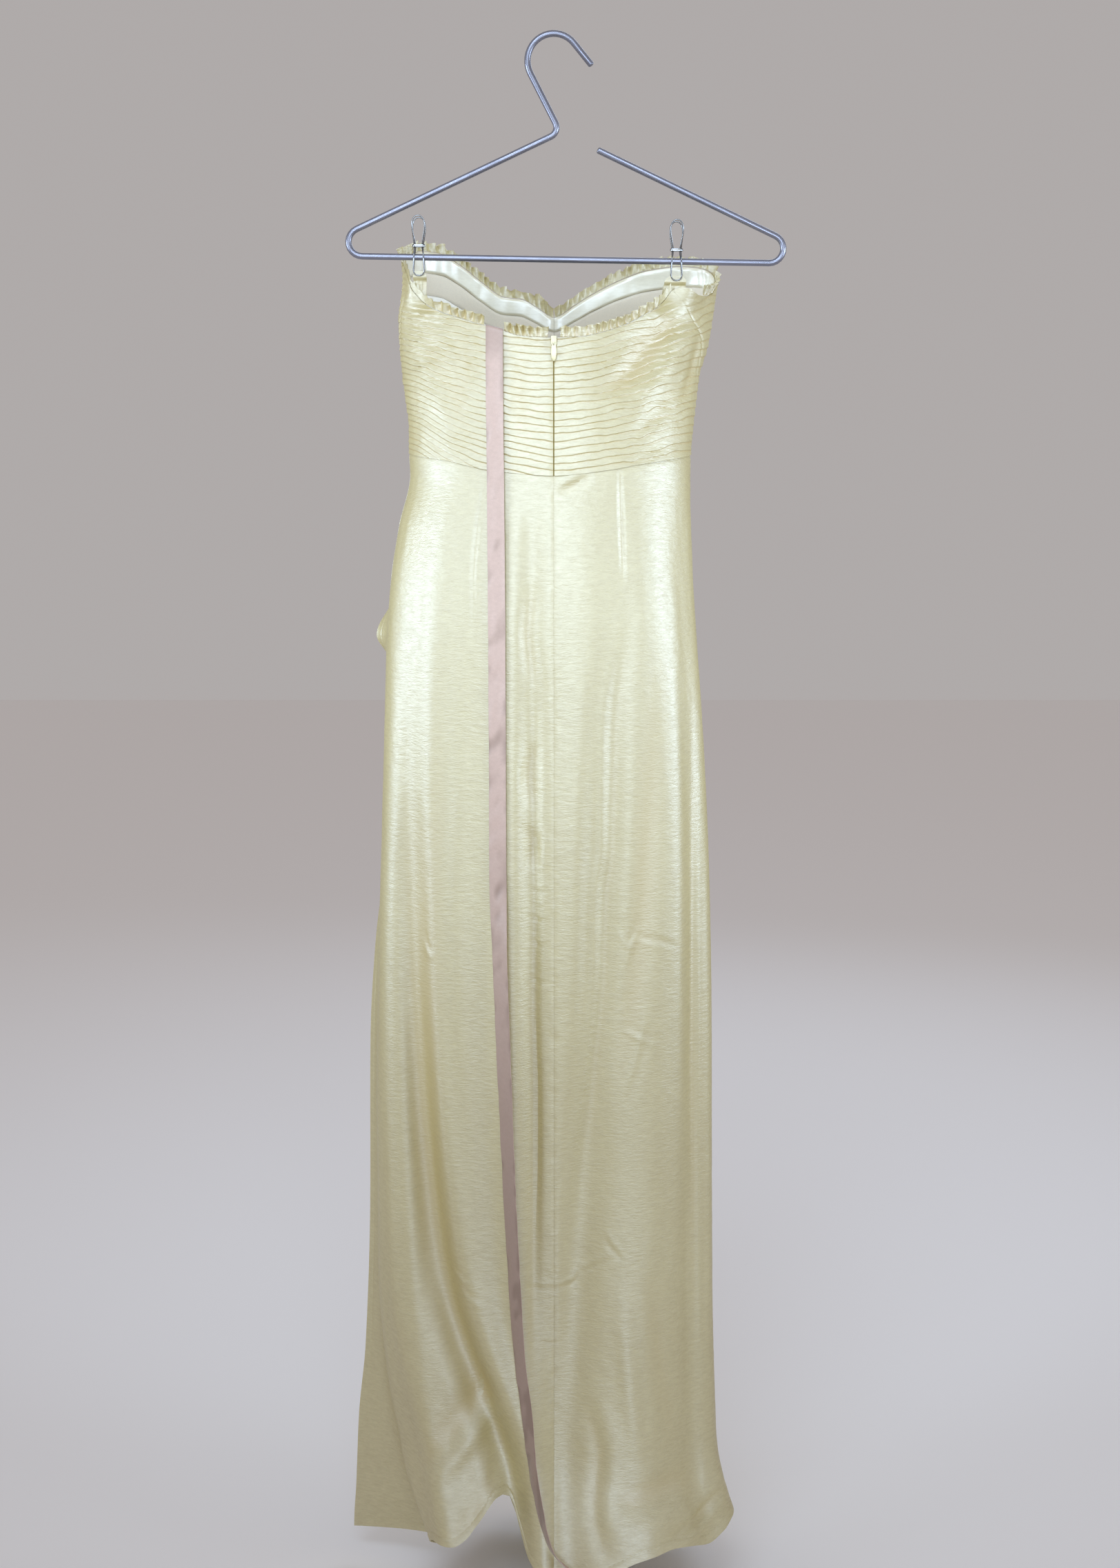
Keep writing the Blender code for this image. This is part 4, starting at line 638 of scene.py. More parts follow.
FRONT_CREASES = (
    Crease(((70, -400), (60, -560), (52, -760), (44, -1000)), 10.0, -2.2, 0.5),
    Crease(((-40, -395), (-52, -560), (-58, -800), (-54, -1100)), 10.0, -2.2, 0.5),
    Crease(((20, -420), (12, -620), (16, -840), (30, -1120)), 9.0, 2.0, 0.5),
    Crease(((104, -520), (98, -760), (100, -1040), (108, -1300)), 9.0, 2.0, 0.5),
    Crease(((-92, -500), (-88, -760), (-84, -1060), (-78, -1330)), 9.0, 2.0, 0.5),
    Crease(((50, -880), (62, -888), (78, -874)), 3.0, 0.6, 0.6),
    Crease(((-20, -1010), (2, -1018), (24, -1010)), 3.0, -0.6, 0.6),
    Crease(((-70, -1180), (-46, -1188), (-30, -1178)), 3.0, 0.6, 0.6),
    Crease(((14, -700), (30, -708), (44, -702)), 2.6, -0.5, 0.6),
    Crease(((84, -1200), (98, -1290), (120, -1390)), 10.0, -2.4, 0.5),
    Crease(((-16, -1220), (-28, -1330), (-34, -1460)), 10.0, -2.6, 0.5),
    Crease(((40, -1250), (38, -1350), (50, -1470)), 10.0, 2.4, 0.5),
)
BODICE_CREASES = (
    Crease(((114, -246), (92, -278), (76, -304), (54, -332)), 12.0, -4.5, 0.3),
    Crease(((132, -262), (110, -300), (82, -340)), 9.0, 0.8, 0.4),
    Crease(((84, -238), (60, -268), (30, -296)), 9.0, 1.0, 0.4),
    Crease(((124, -318), (98, -342), (66, -366)), 9.0, -1.0, 0.5),
    Crease(((138, -262), (132, -300), (122, -336)), 4.0, -1.6, 0.5),
    Crease(((-28, -286), (-34, -330), (-30, -372)), 6.0, -1.1, -0.5),
    Crease(((-84, -262), (-80, -300), (-88, -350)), 8.0, -1.2, 0.5),
    Crease(((-134, -262), (-118, -310), (-98, -372)), 8.0, 1.4, 0.5),
)


def smooth_through(xs, ys, at):
    """Value at `at` of a smooth curve through (xs, ys) that never overshoots its points."""
    xs = np.asarray(xs, float)
    ys = np.asarray(ys, float)
    step = np.diff(xs)
    rise = np.diff(ys) / step
    slope = np.zeros_like(ys)
    product = rise[:-1] * rise[1:]
    total = rise[:-1] + rise[1:]
    slope[1:-1] = np.where(product > 0, 2 * product / np.where(total == 0, 1, total), 0)
    at = np.clip(at, xs[0], xs[-1])
    i = np.clip(np.searchsorted(xs, at) - 1, 0, len(xs) - 2)
    u = (at - xs[i]) / step[i]
    start = (1 + 2 * u) * (1 - u) ** 2 * ys[i] + u * (1 - u) ** 2 * step[i] * slope[i]
    end = u * u * (3 - 2 * u) * ys[i + 1] - u * u * (1 - u) * step[i] * slope[i + 1]
    return start + end


def column(rows, name, at):
    """A named column of a table in millimetres, read at heights in metres."""
    heights = [row.height * MM for row in rows]
    return smooth_through(heights, [getattr(row, name) * MM for row in rows], at)


def edge_height(rows, angle):
    return smooth_through([row.angle for row in rows], [row.height * MM for row in rows], angle)


def smooth_step(low, high, value):
    u = np.clip((value - low) / (high - low), 0, 1)
    return u * u * (3 - 2 * u)


def ring_point(angle, height):
    """X and Y of the plain outer form at an angle and a height."""
    turn = np.radians(angle)
    side = np.sin(turn)
    facing = np.cos(turn)
    half = np.where(side > 0, column(RINGS, "right", height), column(RINGS, "left", height))
    rest = np.where(side > 0, column(RINGS, "right_depth", height), column(RINGS, "left_depth", height))
    reach = np.where(facing > 0, -column(RINGS, "back", height), column(RINGS, "front", height))
    bend = np.where(facing > 0, column(RINGS, "bend", height) / MM, FRONT_BEND)
    return half * side, rest + (reach - rest) * np.abs(facing) ** bend


def outward(angle, height):
    """Unit X and Y of the direction that faces out of the plain form."""
    x0, y0 = ring_point(angle - ANGLE_NUDGE, height)
    x1, y1 = ring_point(angle + ANGLE_NUDGE, height)
    length = np.hypot(x1 - x0, y1 - y0)
    return (y1 - y0) / length, -(x1 - x0) / length


def angle_apart(angle, centre):
    return (angle - centre + 180.0) % 360.0 - 180.0


def hill(value, reach):
    """1 where a value is 0, falling away smoothly on both sides over its reach."""
    return np.exp(-((value / reach) ** 2))


def unit(vectors):
    return vectors / np.linalg.norm(vectors, axis=-1, keepdims=True)


def fold_depth(angle, height):
    """How far the skirt's folds, hem flare and the cups push the form outward."""
    depth = np.zeros(np.broadcast(angle, height).shape)
    for fold in FOLDS:
        centre = smooth_through(FOLD_HEIGHTS, fold.angles, height)
        amount = smooth_through(FOLD_HEIGHTS, fold.depths, height) * MM
        depth = depth + amount * hill(angle_apart(angle, centre), fold.spread)
    depth = depth * smooth_step(FOLDS_TOP, FOLDS_FULL, height)
    back = smooth_step(FLARE_STARTS_AT, FLARE_FULL_AT, np.cos(np.radians(angle)))
    depth = depth + HEM_FLARE * back * smooth_step(FLARE_TOP, FLARE_FOOT, height)
    curl = hill(angle_apart(angle, LOBE_CURL_ANGLE), LOBE_CURL_SPREAD)
    depth = depth - LOBE_CURL * curl * smooth_step(LOBE_CURL_TOP, LOBE_CURL_FOOT, height)
    swell = hill(height - CUP_HEIGHT, CUP_SPREAD)
    for side in (-1, 1):
        depth = depth + CUP_SWELL * swell * hill(angle_apart(angle, side * CUP_ANGLE), CUP_ANGLE_SPREAD)
    valley = hill(angle_apart(angle, 180.0), CLEAVAGE_SPREAD)
    return depth - CLEAVAGE_DEPTH * valley * smooth_step(CLEAVAGE_FOOT, CLEAVAGE_TOP, height)


def clip_place(clip):
    """X and Z of the cloth edge that a peg grips."""
    return float(ring_point(clip.angle, clip.height)[0]), clip.height


def clip_pull(angle, x, height):
    """1 where a peg holds the cloth flat in the hanger's plane, 0 away from it."""
    near_side = smooth_step(CLIP_PULL_NONE_AT, CLIP_PULL_FULL_AT, np.cos(np.radians(angle)))
    pull = np.zeros(np.broadcast(x, height).shape)
    for clip in CLIPS:
        clip_x, clip_z = clip_place(clip)
        apart = np.hypot(x - clip_x, (height - clip_z) * CLIP_PULL_FLATTEN)
        pull = np.maximum(pull, smooth_step(CLIP_PULL_RADIUS, CLIP_FLAT_RADIUS, apart) * near_side)
    return pull


def form_point(angle, height):
    """Point on the dress's outer form."""
    x, y = ring_point(angle, height)
    out_x, out_y = outward(angle, height)
    depth = fold_depth(angle, height)
    pull = clip_pull(angle, x, height)
    x = x + out_x * depth * (1 - pull)
    y = (y + out_y * depth) * (1 - pull) - 0.5 * WALL * pull
    return np.stack([x, y, height + 0 * x], axis=-1)


def form_normal(angle, height):
    """Unit outward normal of the form, from its neighbours on the form itself."""
    across = form_point(angle + NORMAL_NUDGE, height) - form_point(angle - NORMAL_NUDGE, height)
    down = form_point(angle, height - NORMAL_STEP) - form_point(angle, height + NORMAL_STEP)
    return unit(np.cross(down, across))


def set_in(points, amount):
    """The grid's borders drawn in, square to themselves, to stay clear of the next piece at a seam."""
    moved = points.copy()
    for axis in (0, 1):
        line = np.moveaxis(moved, axis, 0)
        for edge, inner in ((0, 1), (-1, -2)):
            inward = line[inner] - line[edge]
            along = unit(np.gradient(line[edge], axis=0))
            inward = inward - along * np.sum(inward * along, axis=-1, keepdims=True)
            line[edge] += amount * unit(inward)
    return moved


def side_seam(side, share):
    shares = [row.share for row in SIDE_SEAMS]
    return smooth_through(shares, [getattr(row, side) for row in SIDE_SEAMS], share)


def bodice_angles(start, end, shares, columns):
    """Angles of a bodice panel's columns at each share of its height.

    start and end are each an angle or a side seam's name.
    """
    first = side_seam(start, shares) if isinstance(start, str) else np.full_like(shares, start)
    last = side_seam(end, shares) if isinstance(end, str) else np.full_like(shares, end)
    return first[:, None] + (last - first)[:, None] * columns


def skirt_drop(rows):
    """Shares of the way from the waist seam to the hem, closer together near the hem."""
    drop = np.linspace(0, 1, rows)
    return drop + ROWS_TO_HEM * np.sin(np.pi * drop)


def strip_grid(rows, columns):
    """Points of the narrow front strip, from its free edge at the slit to the left side seam."""
    shares = skirt_drop(rows)
    seam_top = edge_height(WAIST_SEAM, SKIRT_LEFT_SEAM)
    seam_heights = seam_top + (edge_height(HEM, SKIRT_LEFT_SEAM) - seam_top) * shares
    seam = form_point(np.full(rows, SKIRT_LEFT_SEAM), seam_heights)
    edge_top = edge_height(WAIST_SEAM, SLIT_ANGLE)
    edge_heights = edge_top + (STRIP_EDGE[0].height * MM - edge_top) * shares
    edge_x = column(STRIP_EDGE, "x", edge_heights)
    edge = np.stack([edge_x, column(STRIP_EDGE, "y", edge_heights), edge_heights], -1)
    sewn = form_point(np.full(rows, SLIT_ANGLE + SLIT_CLEARANCE), edge_heights)
    free = smooth_step(SLIT_TOP, SLIT_TOP - SLIT_OPENS_OVER, edge_heights)[:, None]
    edge = sewn + (edge - sewn) * free
    corner_y = (1 - STRIP_TURN) * seam[:, 1] + STRIP_TURN * edge[:, 1]
    corner = np.stack([seam[:, 0], corner_y, 0.5 * (seam[:, 2] + edge[:, 2])], -1)
    u = np.linspace(0, 1, columns)[None, :, None]
    return (1 - u) ** 2 * edge[:, None] + 2 * u * (1 - u) * corner[:, None] + u ** 2 * seam[:, None]


def grid_normals(points):
    """Unit normals of a grid of points, facing out for columns that run towards +angle."""
    down = np.gradient(points, axis=0)
    across = np.gradient(points, axis=1)
    return unit(np.cross(down, across))


def run_along(line, spacing):
    """Places along a line of points, as an index with a share, that are `spacing` metres apart."""
    length = np.r_[0, np.cumsum(np.linalg.norm(np.diff(line, axis=0), axis=1))]
    count = max(2, int(round(length[-1] / spacing)) + 1)
    return np.interp(np.linspace(0, length[-1], count), length, np.arange(len(line)))


def read_line(line, places):
    index = np.arange(len(line))
    return np.stack([np.interp(places, index, line[:, k]) for k in range(3)], axis=-1)


def cut_line(line, low_x, high_x):
    """The stretch of a back edge line between two values of X, with its ends at those values."""
    places = np.interp([low_x, high_x], line[:, 0], np.arange(len(line)))
    inside = [i for i in range(len(line)) if places[0] < i < places[1]]
    return np.r_[places[0], inside, places[1]]


def fillet(before, corner, after, radius, steps):
    """Points of the round that joins two straight runs at a corner, in the plane of X and Z."""
    corner = np.asarray(corner, float)
    one = unit(np.asarray(before, float) - corner)
    other = unit(np.asarray(after, float) - corner)
    half = 0.5 * np.arccos(np.clip(one @ other, -1, 1))
    centre = corner + unit(one + other) * radius / np.sin(half)
    start = corner + one * radius / np.tan(half) - centre
    end = corner + other * radius / np.tan(half) - centre
    first = np.arctan2(start[1], start[0])
    last = np.arctan2(end[1], end[0])
    turn = (last - first + np.pi) % (2 * np.pi) - np.pi
    angles = first + turn * np.linspace(0, 1, steps)
    return [centre + radius * np.array([np.cos(a), np.sin(a)]) for a in angles]


def hanger_path():
    """The rod's middle line, from the free shoulder end round the bar and up into the hook."""
    right = np.array(BAR_RIGHT_CORNER)
    left = np.array(BAR_LEFT_CORNER)
    neck = np.array(NECK_CORNER)
    centre = np.array([0.0, ROD_RADIUS - HOOK_RADIUS])
    to_neck = neck - centre
    spread = np.degrees(np.arccos(HOOK_RADIUS / np.linalg.norm(to_neck)))
    join = np.degrees(np.arctan2(to_neck[1], to_neck[0])) - spread + 360.0
    turns = np.radians(np.linspace(join, HOOK_TIP_ANGLE, HOOK_STEPS))
    hook = [centre + HOOK_RADIUS * np.array([np.cos(a), np.sin(a)]) for a in turns]
    tip = np.radians(HOOK_TIP_ANGLE)
    end = hook[-1] + HOOK_TIP_LENGTH * np.array([np.sin(tip), -np.cos(tip)])
    points = [np.array(SHOULDER_FREE_END)]
    points += fillet(SHOULDER_FREE_END, right, left, BAR_END_BEND, BAR_END_STEPS)
    points += fillet(right, left, neck, BAR_END_BEND, BAR_END_STEPS)
    points += fillet(left, neck, hook[0], NECK_BEND, NECK_STEPS)
    points += hook
    points.append(end)
    return [(x, 0.0, z) for x, z in points]


def bar_height(x):
    share = (x - BAR_LEFT_CORNER[0]) / (BAR_RIGHT_CORNER[0] - BAR_LEFT_CORNER[0])
    return BAR_LEFT_CORNER[1] + share * (BAR_RIGHT_CORNER[1] - BAR_LEFT_CORNER[1])


def clip_wire(x, jaw, bar, facing, neck):
    """Closed path of one of a peg's wires. facing is -1 for the wire whose jaw is in front of the cloth."""
    jaw_depth = 0.5 * WALL + SEAM_GAP + WIRE_RADIUS
    bar_depth = ROD_RADIUS + WIRE_RADIUS + WIRE_BAR_GAP
    right = [(JAW_HALF_WIDTH, jaw, jaw_depth)]
    right += [(place.across * MM, bar + place.up * MM, bar_depth) for place in WIRE_AT_BAR]
    right.append((neck, bar + NECK_RISE, 0.0))
    right += [(place.across * MM, bar + place.up * MM, -place.depth * MM) for place in WIRE_HANDLE]
    left = [(-a, b, c) for a, b, c in right[-2::-1]]
    return [(x + a, facing * c, b) for a, b, c in right + left]


def angle_at(x, height):
    """Angle on the back where the plain form has this X."""
    half = np.where(x > 0, column(RINGS, "right", height), column(RINGS, "left", height))
    return np.degrees(np.arcsin(np.clip(x / half, -1, 1)))


def ribbon_inside(height):
    """The ribbon's two edges where it lies on the inside of the back."""
    x = RIBBON_TOP_X + np.array([-0.5, 0.5]) * RIBBON_WIDTH
    angles = angle_at(x, height)
    heights = np.full(2, height)
    depth = WALL + RIBBON_INSIDE_GAP + 0.5 * RIBBON_WALL
    return form_point(angles, heights) - form_normal(angles, heights) * depth


def ribbon_over():
    """Three rows of the ribbon's edges where it folds over the top edge."""
    x = RIBBON_TOP_X + np.array([-0.5, 0.5]) * RIBBON_WIDTH
    edge = edge_height(TOP_EDGE, angle_at(x, RIBBON_EDGE_HEIGHT))
    angles = angle_at(x, edge)
    crest = form_point(angles, edge)
    rows = []
    for point in RIBBON_OVER:
        rows.append(crest + np.array([0.0, point.inward * MM, point.up * MM + 0.5 * RIBBON_WALL]))
    return rows


def ribbon_outside(height):
    """The ribbon's two edges at a height outside the back, clear of the outermost cloth behind it."""
    x = column(RIBBON_DROP, "x", height)
    turn = np.radians(column(RIBBON_DROP, "turn", height) / MM)
    half_width = 0.5 * RIBBON_WIDTH * np.cos(turn)
    spread = np.linspace(-1, 1, RIBBON_LOOK_POINTS)
    reach = x + spread * (half_width + RIBBON_LOOK_ASIDE)
    near = height + np.array(RIBBON_LOOK_UP)[:, None] * MM
    surface = form_point(angle_at(reach[None, :], near), near + 0 * reach[None, :])[..., 1].min(axis=0)
    surface = surface - TUCK_RELIEF * smooth_step(TUCKS_FOOT, TUCKS_START, height)
    tilt = np.clip(0.5 * (surface[-1] - surface[0]), -RIBBON_TILT_LIMIT, RIBBON_TILT_LIMIT)
    clear = (surface - tilt * spread).min() - RIBBON_CLEARANCE - 0.5 * RIBBON_WALL
    stand = 0.5 * RIBBON_WIDTH * np.sin(turn)
    edges = []
    for side in (-1, 1):
        edges.append([x + side * half_width, clear + side * tilt - stand - side * stand, height])
    return np.array(edges)


def soft_noise(across, up, seed):
    """Smooth noise from -1 to 1, whose humps are one unit long both ways."""
    size = NOISE_LATTICE
    lattice = np.random.default_rng(seed).uniform(-1, 1, (size, size))
    across, up = np.broadcast_arrays(across, up)
    i = np.floor(across).astype(int)
    j = np.floor(up).astype(int)
    s = smooth_step(0, 1, across - i)
    t = smooth_step(0, 1, up - j)
    low, high = [
        lattice[i % size, k % size] * (1 - s) + lattice[(i + 1) % size, k % size] * s for k in (j, j + 1)
    ]
    return low * (1 - t) + high * t


def humps(kind, across, down, seed=0):
    """One kind of the noise on the cloth."""
    return kind.amount * soft_noise(across / kind.across, down / kind.down, kind.seed + seed)


def change(kind, travelled, seed):
    """A change of a ruffle's pleats along its run."""
    return kind.mean + kind.amount * soft_noise(travelled / kind.run, kind.lane, seed)


def hollow_shade(relief, depth, tone):
    """A mask of painted shade where the relief goes in, at its full tone from a depth on."""
    return np.clip(-relief / depth, 0, 1) * tone


def crease_relief(creases, points):
    """How far the creases lift or sink each point of a grid, in metres, by its X and Z."""
    x = points[..., 0] / MM
    z = points[..., 2] / MM
    relief = np.zeros(x.shape)
    for crease in creases:
        line = np.array(crease.points, float)
        spans = np.abs(line[-1] - line[0])
        along, off = (1, 0) if spans[1] > spans[0] else (0, 1)
        line = line[np.argsort(line[:, along])]
        run, across = (z, x) if along == 1 else (x, z)
        near = (run > line[0, along]) & (run < line[-1, along])
        reach = np.ptp(line[:, off]) + CREASE_REACH * crease.width
        near &= np.abs(across - line[:, off].mean()) < reach
        run, across = run[near], across[near]
        middle = smooth_through(line[:, along], line[:, off], run)
        slope = smooth_through(line[:, along], line[:, off], run + 1.0) - middle
        u = (across - middle) / np.hypot(1.0, slope) / crease.width
        share = (run - line[0, along]) / spans[along]
        fade = np.sin(np.pi * share) ** CREASE_FADE
        beside = abs(crease.side) * hill(u - CREASE_DIP_PLACE * np.sign(crease.side), CREASE_DIP_SPREAD)
        relief[near] += crease.depth * MM * fade * (hill(u, 1.0) - beside)
    return relief


def drape_relief(angle, height, seed):
    """Small soft unevenness of hanging satin, longer down than across."""
    slant = angle / SLANT_ACROSS + height / SLANT_DOWN
    relief = sum(humps(kind, angle, height, seed) for kind in DRAPE)
    return (relief + humps(DRAPE_SLANTED, slant, height, seed)) * MM


def edge_distance(points):
    """Distance of each point of a grid along its row from the nearer side edge."""
    steps = np.linalg.norm(np.diff(points, axis=1), axis=-1)
    from_left = np.concatenate([np.zeros((len(points), 1)), np.cumsum(steps, axis=1)], axis=1)
    return np.minimum(from_left, from_left[:, -1:] - from_left)


def foot_distance(points):
    """Distance of each point of a grid down its column to the last row."""
    steps = np.linalg.norm(np.diff(points, axis=0), axis=-1)
    from_top = np.concatenate([np.zeros((1, points.shape[1])), np.cumsum(steps, axis=0)], axis=0)
    return from_top[-1:] - from_top


def seam_dip(distance):
    """The rounding of a panel into a seam."""
    return -SEAM_DIP * hill(distance, SEAM_DIP_REACH)


def hem_relief(distance):
    """The turned-up hem: a slightly thicker band with a stitched groove over it."""
    band = HEM_PLY * smooth_step(HEM_BAND + HEM_BAND_EDGE, HEM_BAND - HEM_BAND_EDGE, distance)
    return band - HEM_GROOVE * hill(distance - HEM_BAND, HEM_GROOVE_REACH)


def grid_area(points):
    """Area of a grid of points, and its longest row and column."""
    across = np.diff(points, axis=1)
    down = np.diff(points, axis=0)
    faces = np.linalg.norm(np.cross(across[:-1], down[:, :-1]), axis=-1)
    row = np.linalg.norm(across, axis=-1).sum(axis=1).max()
    column_length = np.linalg.norm(down, axis=-1).sum(axis=0).max()
    return float(faces.sum()), float(row), float(column_length)


def spread_picks(count, step):
    """Every step-th index of count, with the last one."""
    return np.unique(np.r_[np.arange(0, count, step), count - 1])


def grid_faces(index, corners):
    """Faces of a grid of point numbers. corners are the steps down and across, in order round a face."""
    tall, wide = index.shape
    parts = [index[down:tall - 1 + down, across:wide - 1 + across] for down, across in corners]
    return np.stack(parts, -1).reshape(-1, 4).tolist()


def closed_cloth(name, fine, backing, rows, columns, finish, inward=False, shade=None):
    """A thin closed wall. fine is the side that shows and backing its other side, at fewer rows and columns.

    inward turns the faces over for a band whose fine side looks into the dress. shade is a mask of painted
    shade over fine's points, stored as the attribute fold for its material.
    """
    tall, wide = fine.shape[:2]
    low, narrow = len(rows), len(columns)
    index = np.arange(tall * wide).reshape(tall, wide)
    other = tall * wide + np.arange(low * narrow).reshape(low, narrow)
    faces = grid_faces(index, ((0, 0), (1, 0), (1, 1), (0, 1)))
    faces += grid_faces(other, ((0, 0), (0, 1), (1, 1), (1, 0)))
    for k in range(narrow - 1):
        run = list(range(columns[k], columns[k + 1] + 1))
        faces.append([index[0, c] for c in run] + [other[0, k + 1], other[0, k]])
        faces.append([index[-1, c] for c in run[::-1]] + [other[-1, k], other[-1, k + 1]])
    for k in range(low - 1):
        run = list(range(rows[k], rows[k + 1] + 1))
        faces.append([index[r, 0] for r in run[::-1]] + [other[k, 0], other[k + 1, 0]])
        faces.append([index[r, -1] for r in run] + [other[k + 1, -1], other[k, -1]])
    if inward:
        faces = [face[::-1] for face in faces]
    points = np.concatenate([fine.reshape(-1, 3), backing.reshape(-1, 3)])
    made = mesh_object(name, points, faces, finish)
    if shade is not None:
        # The painted shade mask goes to the material as the attribute fold.
        painted_shade_mask = made.data.attributes.new("fold", "FLOAT", "POINT")
        values = np.concatenate([np.broadcast_to(shade, (tall, wide)).ravel(), np.zeros(low * narrow)])
        painted_shade_mask.data.foreach_set("value", values.astype(np.float32))
    return made


def mesh_object(name, points, faces, finish):
    """A mesh object shaded smooth, with its finish."""
    mesh = bpy.data.meshes.new(name)
    mesh.from_pydata([tuple(point) for point in points], [], faces)
    mesh.shade_smooth()
    mesh.set_sharp_from_angle(angle=np.radians(SHARP_ANGLE))
    mesh.materials.append(finish)
    made = bpy.data.objects.new(name, mesh)
    bpy.context.scene.collection.objects.link(made)
    return made


def dress_piece(made, node, flat=None):
    """Puts a piece in a CAD node's place and hides the node, if any. flat, a sheet's area, width and length,
    is clamped but not used further.
    """
    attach(made, BODY)
    if node:
        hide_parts(node)
    if flat is not None:
        area, width, length = flat
        length = max(length, SHORTEST_CUT)
        area = min(area, width * length)


def cloth_piece(name, outer, under, step, base, finish, shade=None, inward=False):
    """A closed cloth over the CAD node of its name. under keeps every step-th row and column."""
    rows = spread_picks(outer.shape[0], step[0])
    columns = spread_picks(outer.shape[1], step[1])
    thinned = under[rows][:, columns]
    made = closed_cloth(f"{name}_cloth", outer, thinned, rows, columns, finish, inward, shade)
    dress_piece(made, name, grid_area(base))


def shader_group(name, inputs):
    """An empty shader node group with inputs by name and default, and a finish's three outputs."""
    group = bpy.data.node_groups.new(name, "ShaderNodeTree")
    for label, default in inputs.items():
        kind = "NodeSocketColor" if isinstance(default, tuple) else "NodeSocketFloat"
        socket = group.interface.new_socket(name=label, in_out="INPUT", socket_type=kind)
        socket.default_value = default
    for label, kind in (("Colour", "Color"), ("Roughness", "Float"), ("Height", "Float")):
        group.interface.new_socket(name=label, in_out="OUTPUT", socket_type=f"NodeSocket{kind}")
    given, result = group.nodes.new("NodeGroupInput"), group.nodes.new("NodeGroupOutput")
    return group, given.outputs, result.inputs


def maths(tree, operation, one, other, clamp=False):
    """A Math node's result. Each term is a socket or a number."""
    node = tree.nodes.new("ShaderNodeMath")
    node.operation = operation
    node.use_clamp = clamp
    for socket, term in zip(node.inputs, (one, other)):
        if isinstance(term, (int, float)):
            socket.default_value = term
        else:
            tree.links.new(term, socket)
    return node.outputs[0]


def weighted(tree, one, other, weight):
    """The mean of two values, with a weight for the first."""
    first = maths(tree, "MULTIPLY", one, weight)
    return maths(tree, "ADD", first, maths(tree, "MULTIPLY", other, 1 - weight))


def spread_out(tree, value, middle, gain, clamp=False):
    """How far a value lies from a middle one, times a gain."""
    return maths(tree, "MULTIPLY", maths(tree, "SUBTRACT", value, middle), gain, clamp)


def stretched_noise(tree, across, down, detail):
    """Noise in the object's own space, with its grain sizes per metre across and down."""
    place = tree.nodes.new("ShaderNodeTexCoord").outputs["Object"]
    scale = tree.nodes.new("ShaderNodeCombineXYZ")
    for socket, term in zip(scale.inputs, (across, across, down)):
        tree.links.new(term, socket)
    stretch = tree.nodes.new("ShaderNodeVectorMath")
    stretch.operation = "MULTIPLY"
    tree.links.new(place, stretch.inputs[0])
    tree.links.new(scale.outputs[0], stretch.inputs[1])
    return plain_noise(tree, stretch.outputs[0], 1.0, detail)


def plain_noise(tree, place, scale, detail=2.0):
    noise = tree.nodes.new("ShaderNodeTexNoise")
    noise.inputs["Scale"].default_value = scale
    noise.inputs["Detail"].default_value = detail
    tree.links.new(place, noise.inputs["Vector"])
    return noise.outputs["Fac"]


def mix_colour(tree, share, one, other):
    node = tree.nodes.new("ShaderNodeMix")
    node.data_type = "RGBA"
    tree.links.new(share, node.inputs["Factor"])
    for socket, term in ((node.inputs[6], one), (node.inputs[7], other)):
        if isinstance(term, (tuple, list)):
            socket.default_value = term
        else:
            tree.links.new(term, socket)
    return node.outputs[2]


def grain_group():
    """The grain of woven cloth: slubs across, fine threads and slow changes of tone."""
    found = bpy.data.node_groups.get("Cloth grain")
    if found:
        return found
    group, given, result = shader_group("Cloth grain", {
        "Colour": (1, 1, 1, 1), "Shade": (0.5, 0.5, 0.5, 1), "Slubs across": 70.0, "Slubs down": 620.0,
        "Threads across": 420.0, "Threads down": 1700.0, "Tone": 0.35, "Roughness": 0.4,
    })
    slub = stretched_noise(group, given["Slubs across"], given["Slubs down"], SLUB_DETAIL)
    thread = stretched_noise(group, given["Threads across"], given["Threads down"], THREAD_DETAIL)
    place = group.nodes.new("ShaderNodeTexCoord").outputs["Object"]
    slow = plain_noise(group, place, GRAIN_SLOW_SCALE)
    grain = weighted(group, slub, thread, SLUB_WEIGHT)
    share = spread_out(group, weighted(group, grain, slow, GRAIN_WEIGHT), *GRAIN_TONE, clamp=True)
    share = maths(group, "MULTIPLY", share, given["Tone"])
    rough = maths(group, "ADD", given["Roughness"], spread_out(group, grain, *GRAIN_ROUGHNESS))
    group.links.new(mix_colour(group, share, given["Colour"], given["Shade"]), result["Colour"])
    group.links.new(rough, result["Roughness"])
    group.links.new(grain, result["Height"])
    return group


def brushed_group():
    """Fine scratches and worn spots of drawn metal."""
    found = bpy.data.node_groups.get("Drawn metal")
    if found:
        return found
    group, given, result = shader_group("Drawn metal", {
        "Colour": (1, 1, 1, 1), "Worn colour": (0.5, 0.5, 0.5, 1), "Grain": 260.0, "Roughness": 0.35,
    })
    fine = stretched_noise(group, given["Grain"], given["Grain"], SCRATCH_DETAIL)
    place = group.nodes.new("ShaderNodeTexCoord").outputs["Object"]
    share = spread_out(group, plain_noise(group, place, WORN_SLOW_SCALE), *WORN_TONE, clamp=True)
    rough = maths(group, "ADD", given["Roughness"], spread_out(group, fine, *WORN_ROUGHNESS))
    group.links.new(mix_colour(group, share, given["Colour"], given["Worn colour"]), result["Colour"])
    group.links.new(rough, result["Roughness"])
    group.links.new(fine, result["Height"])
    return group


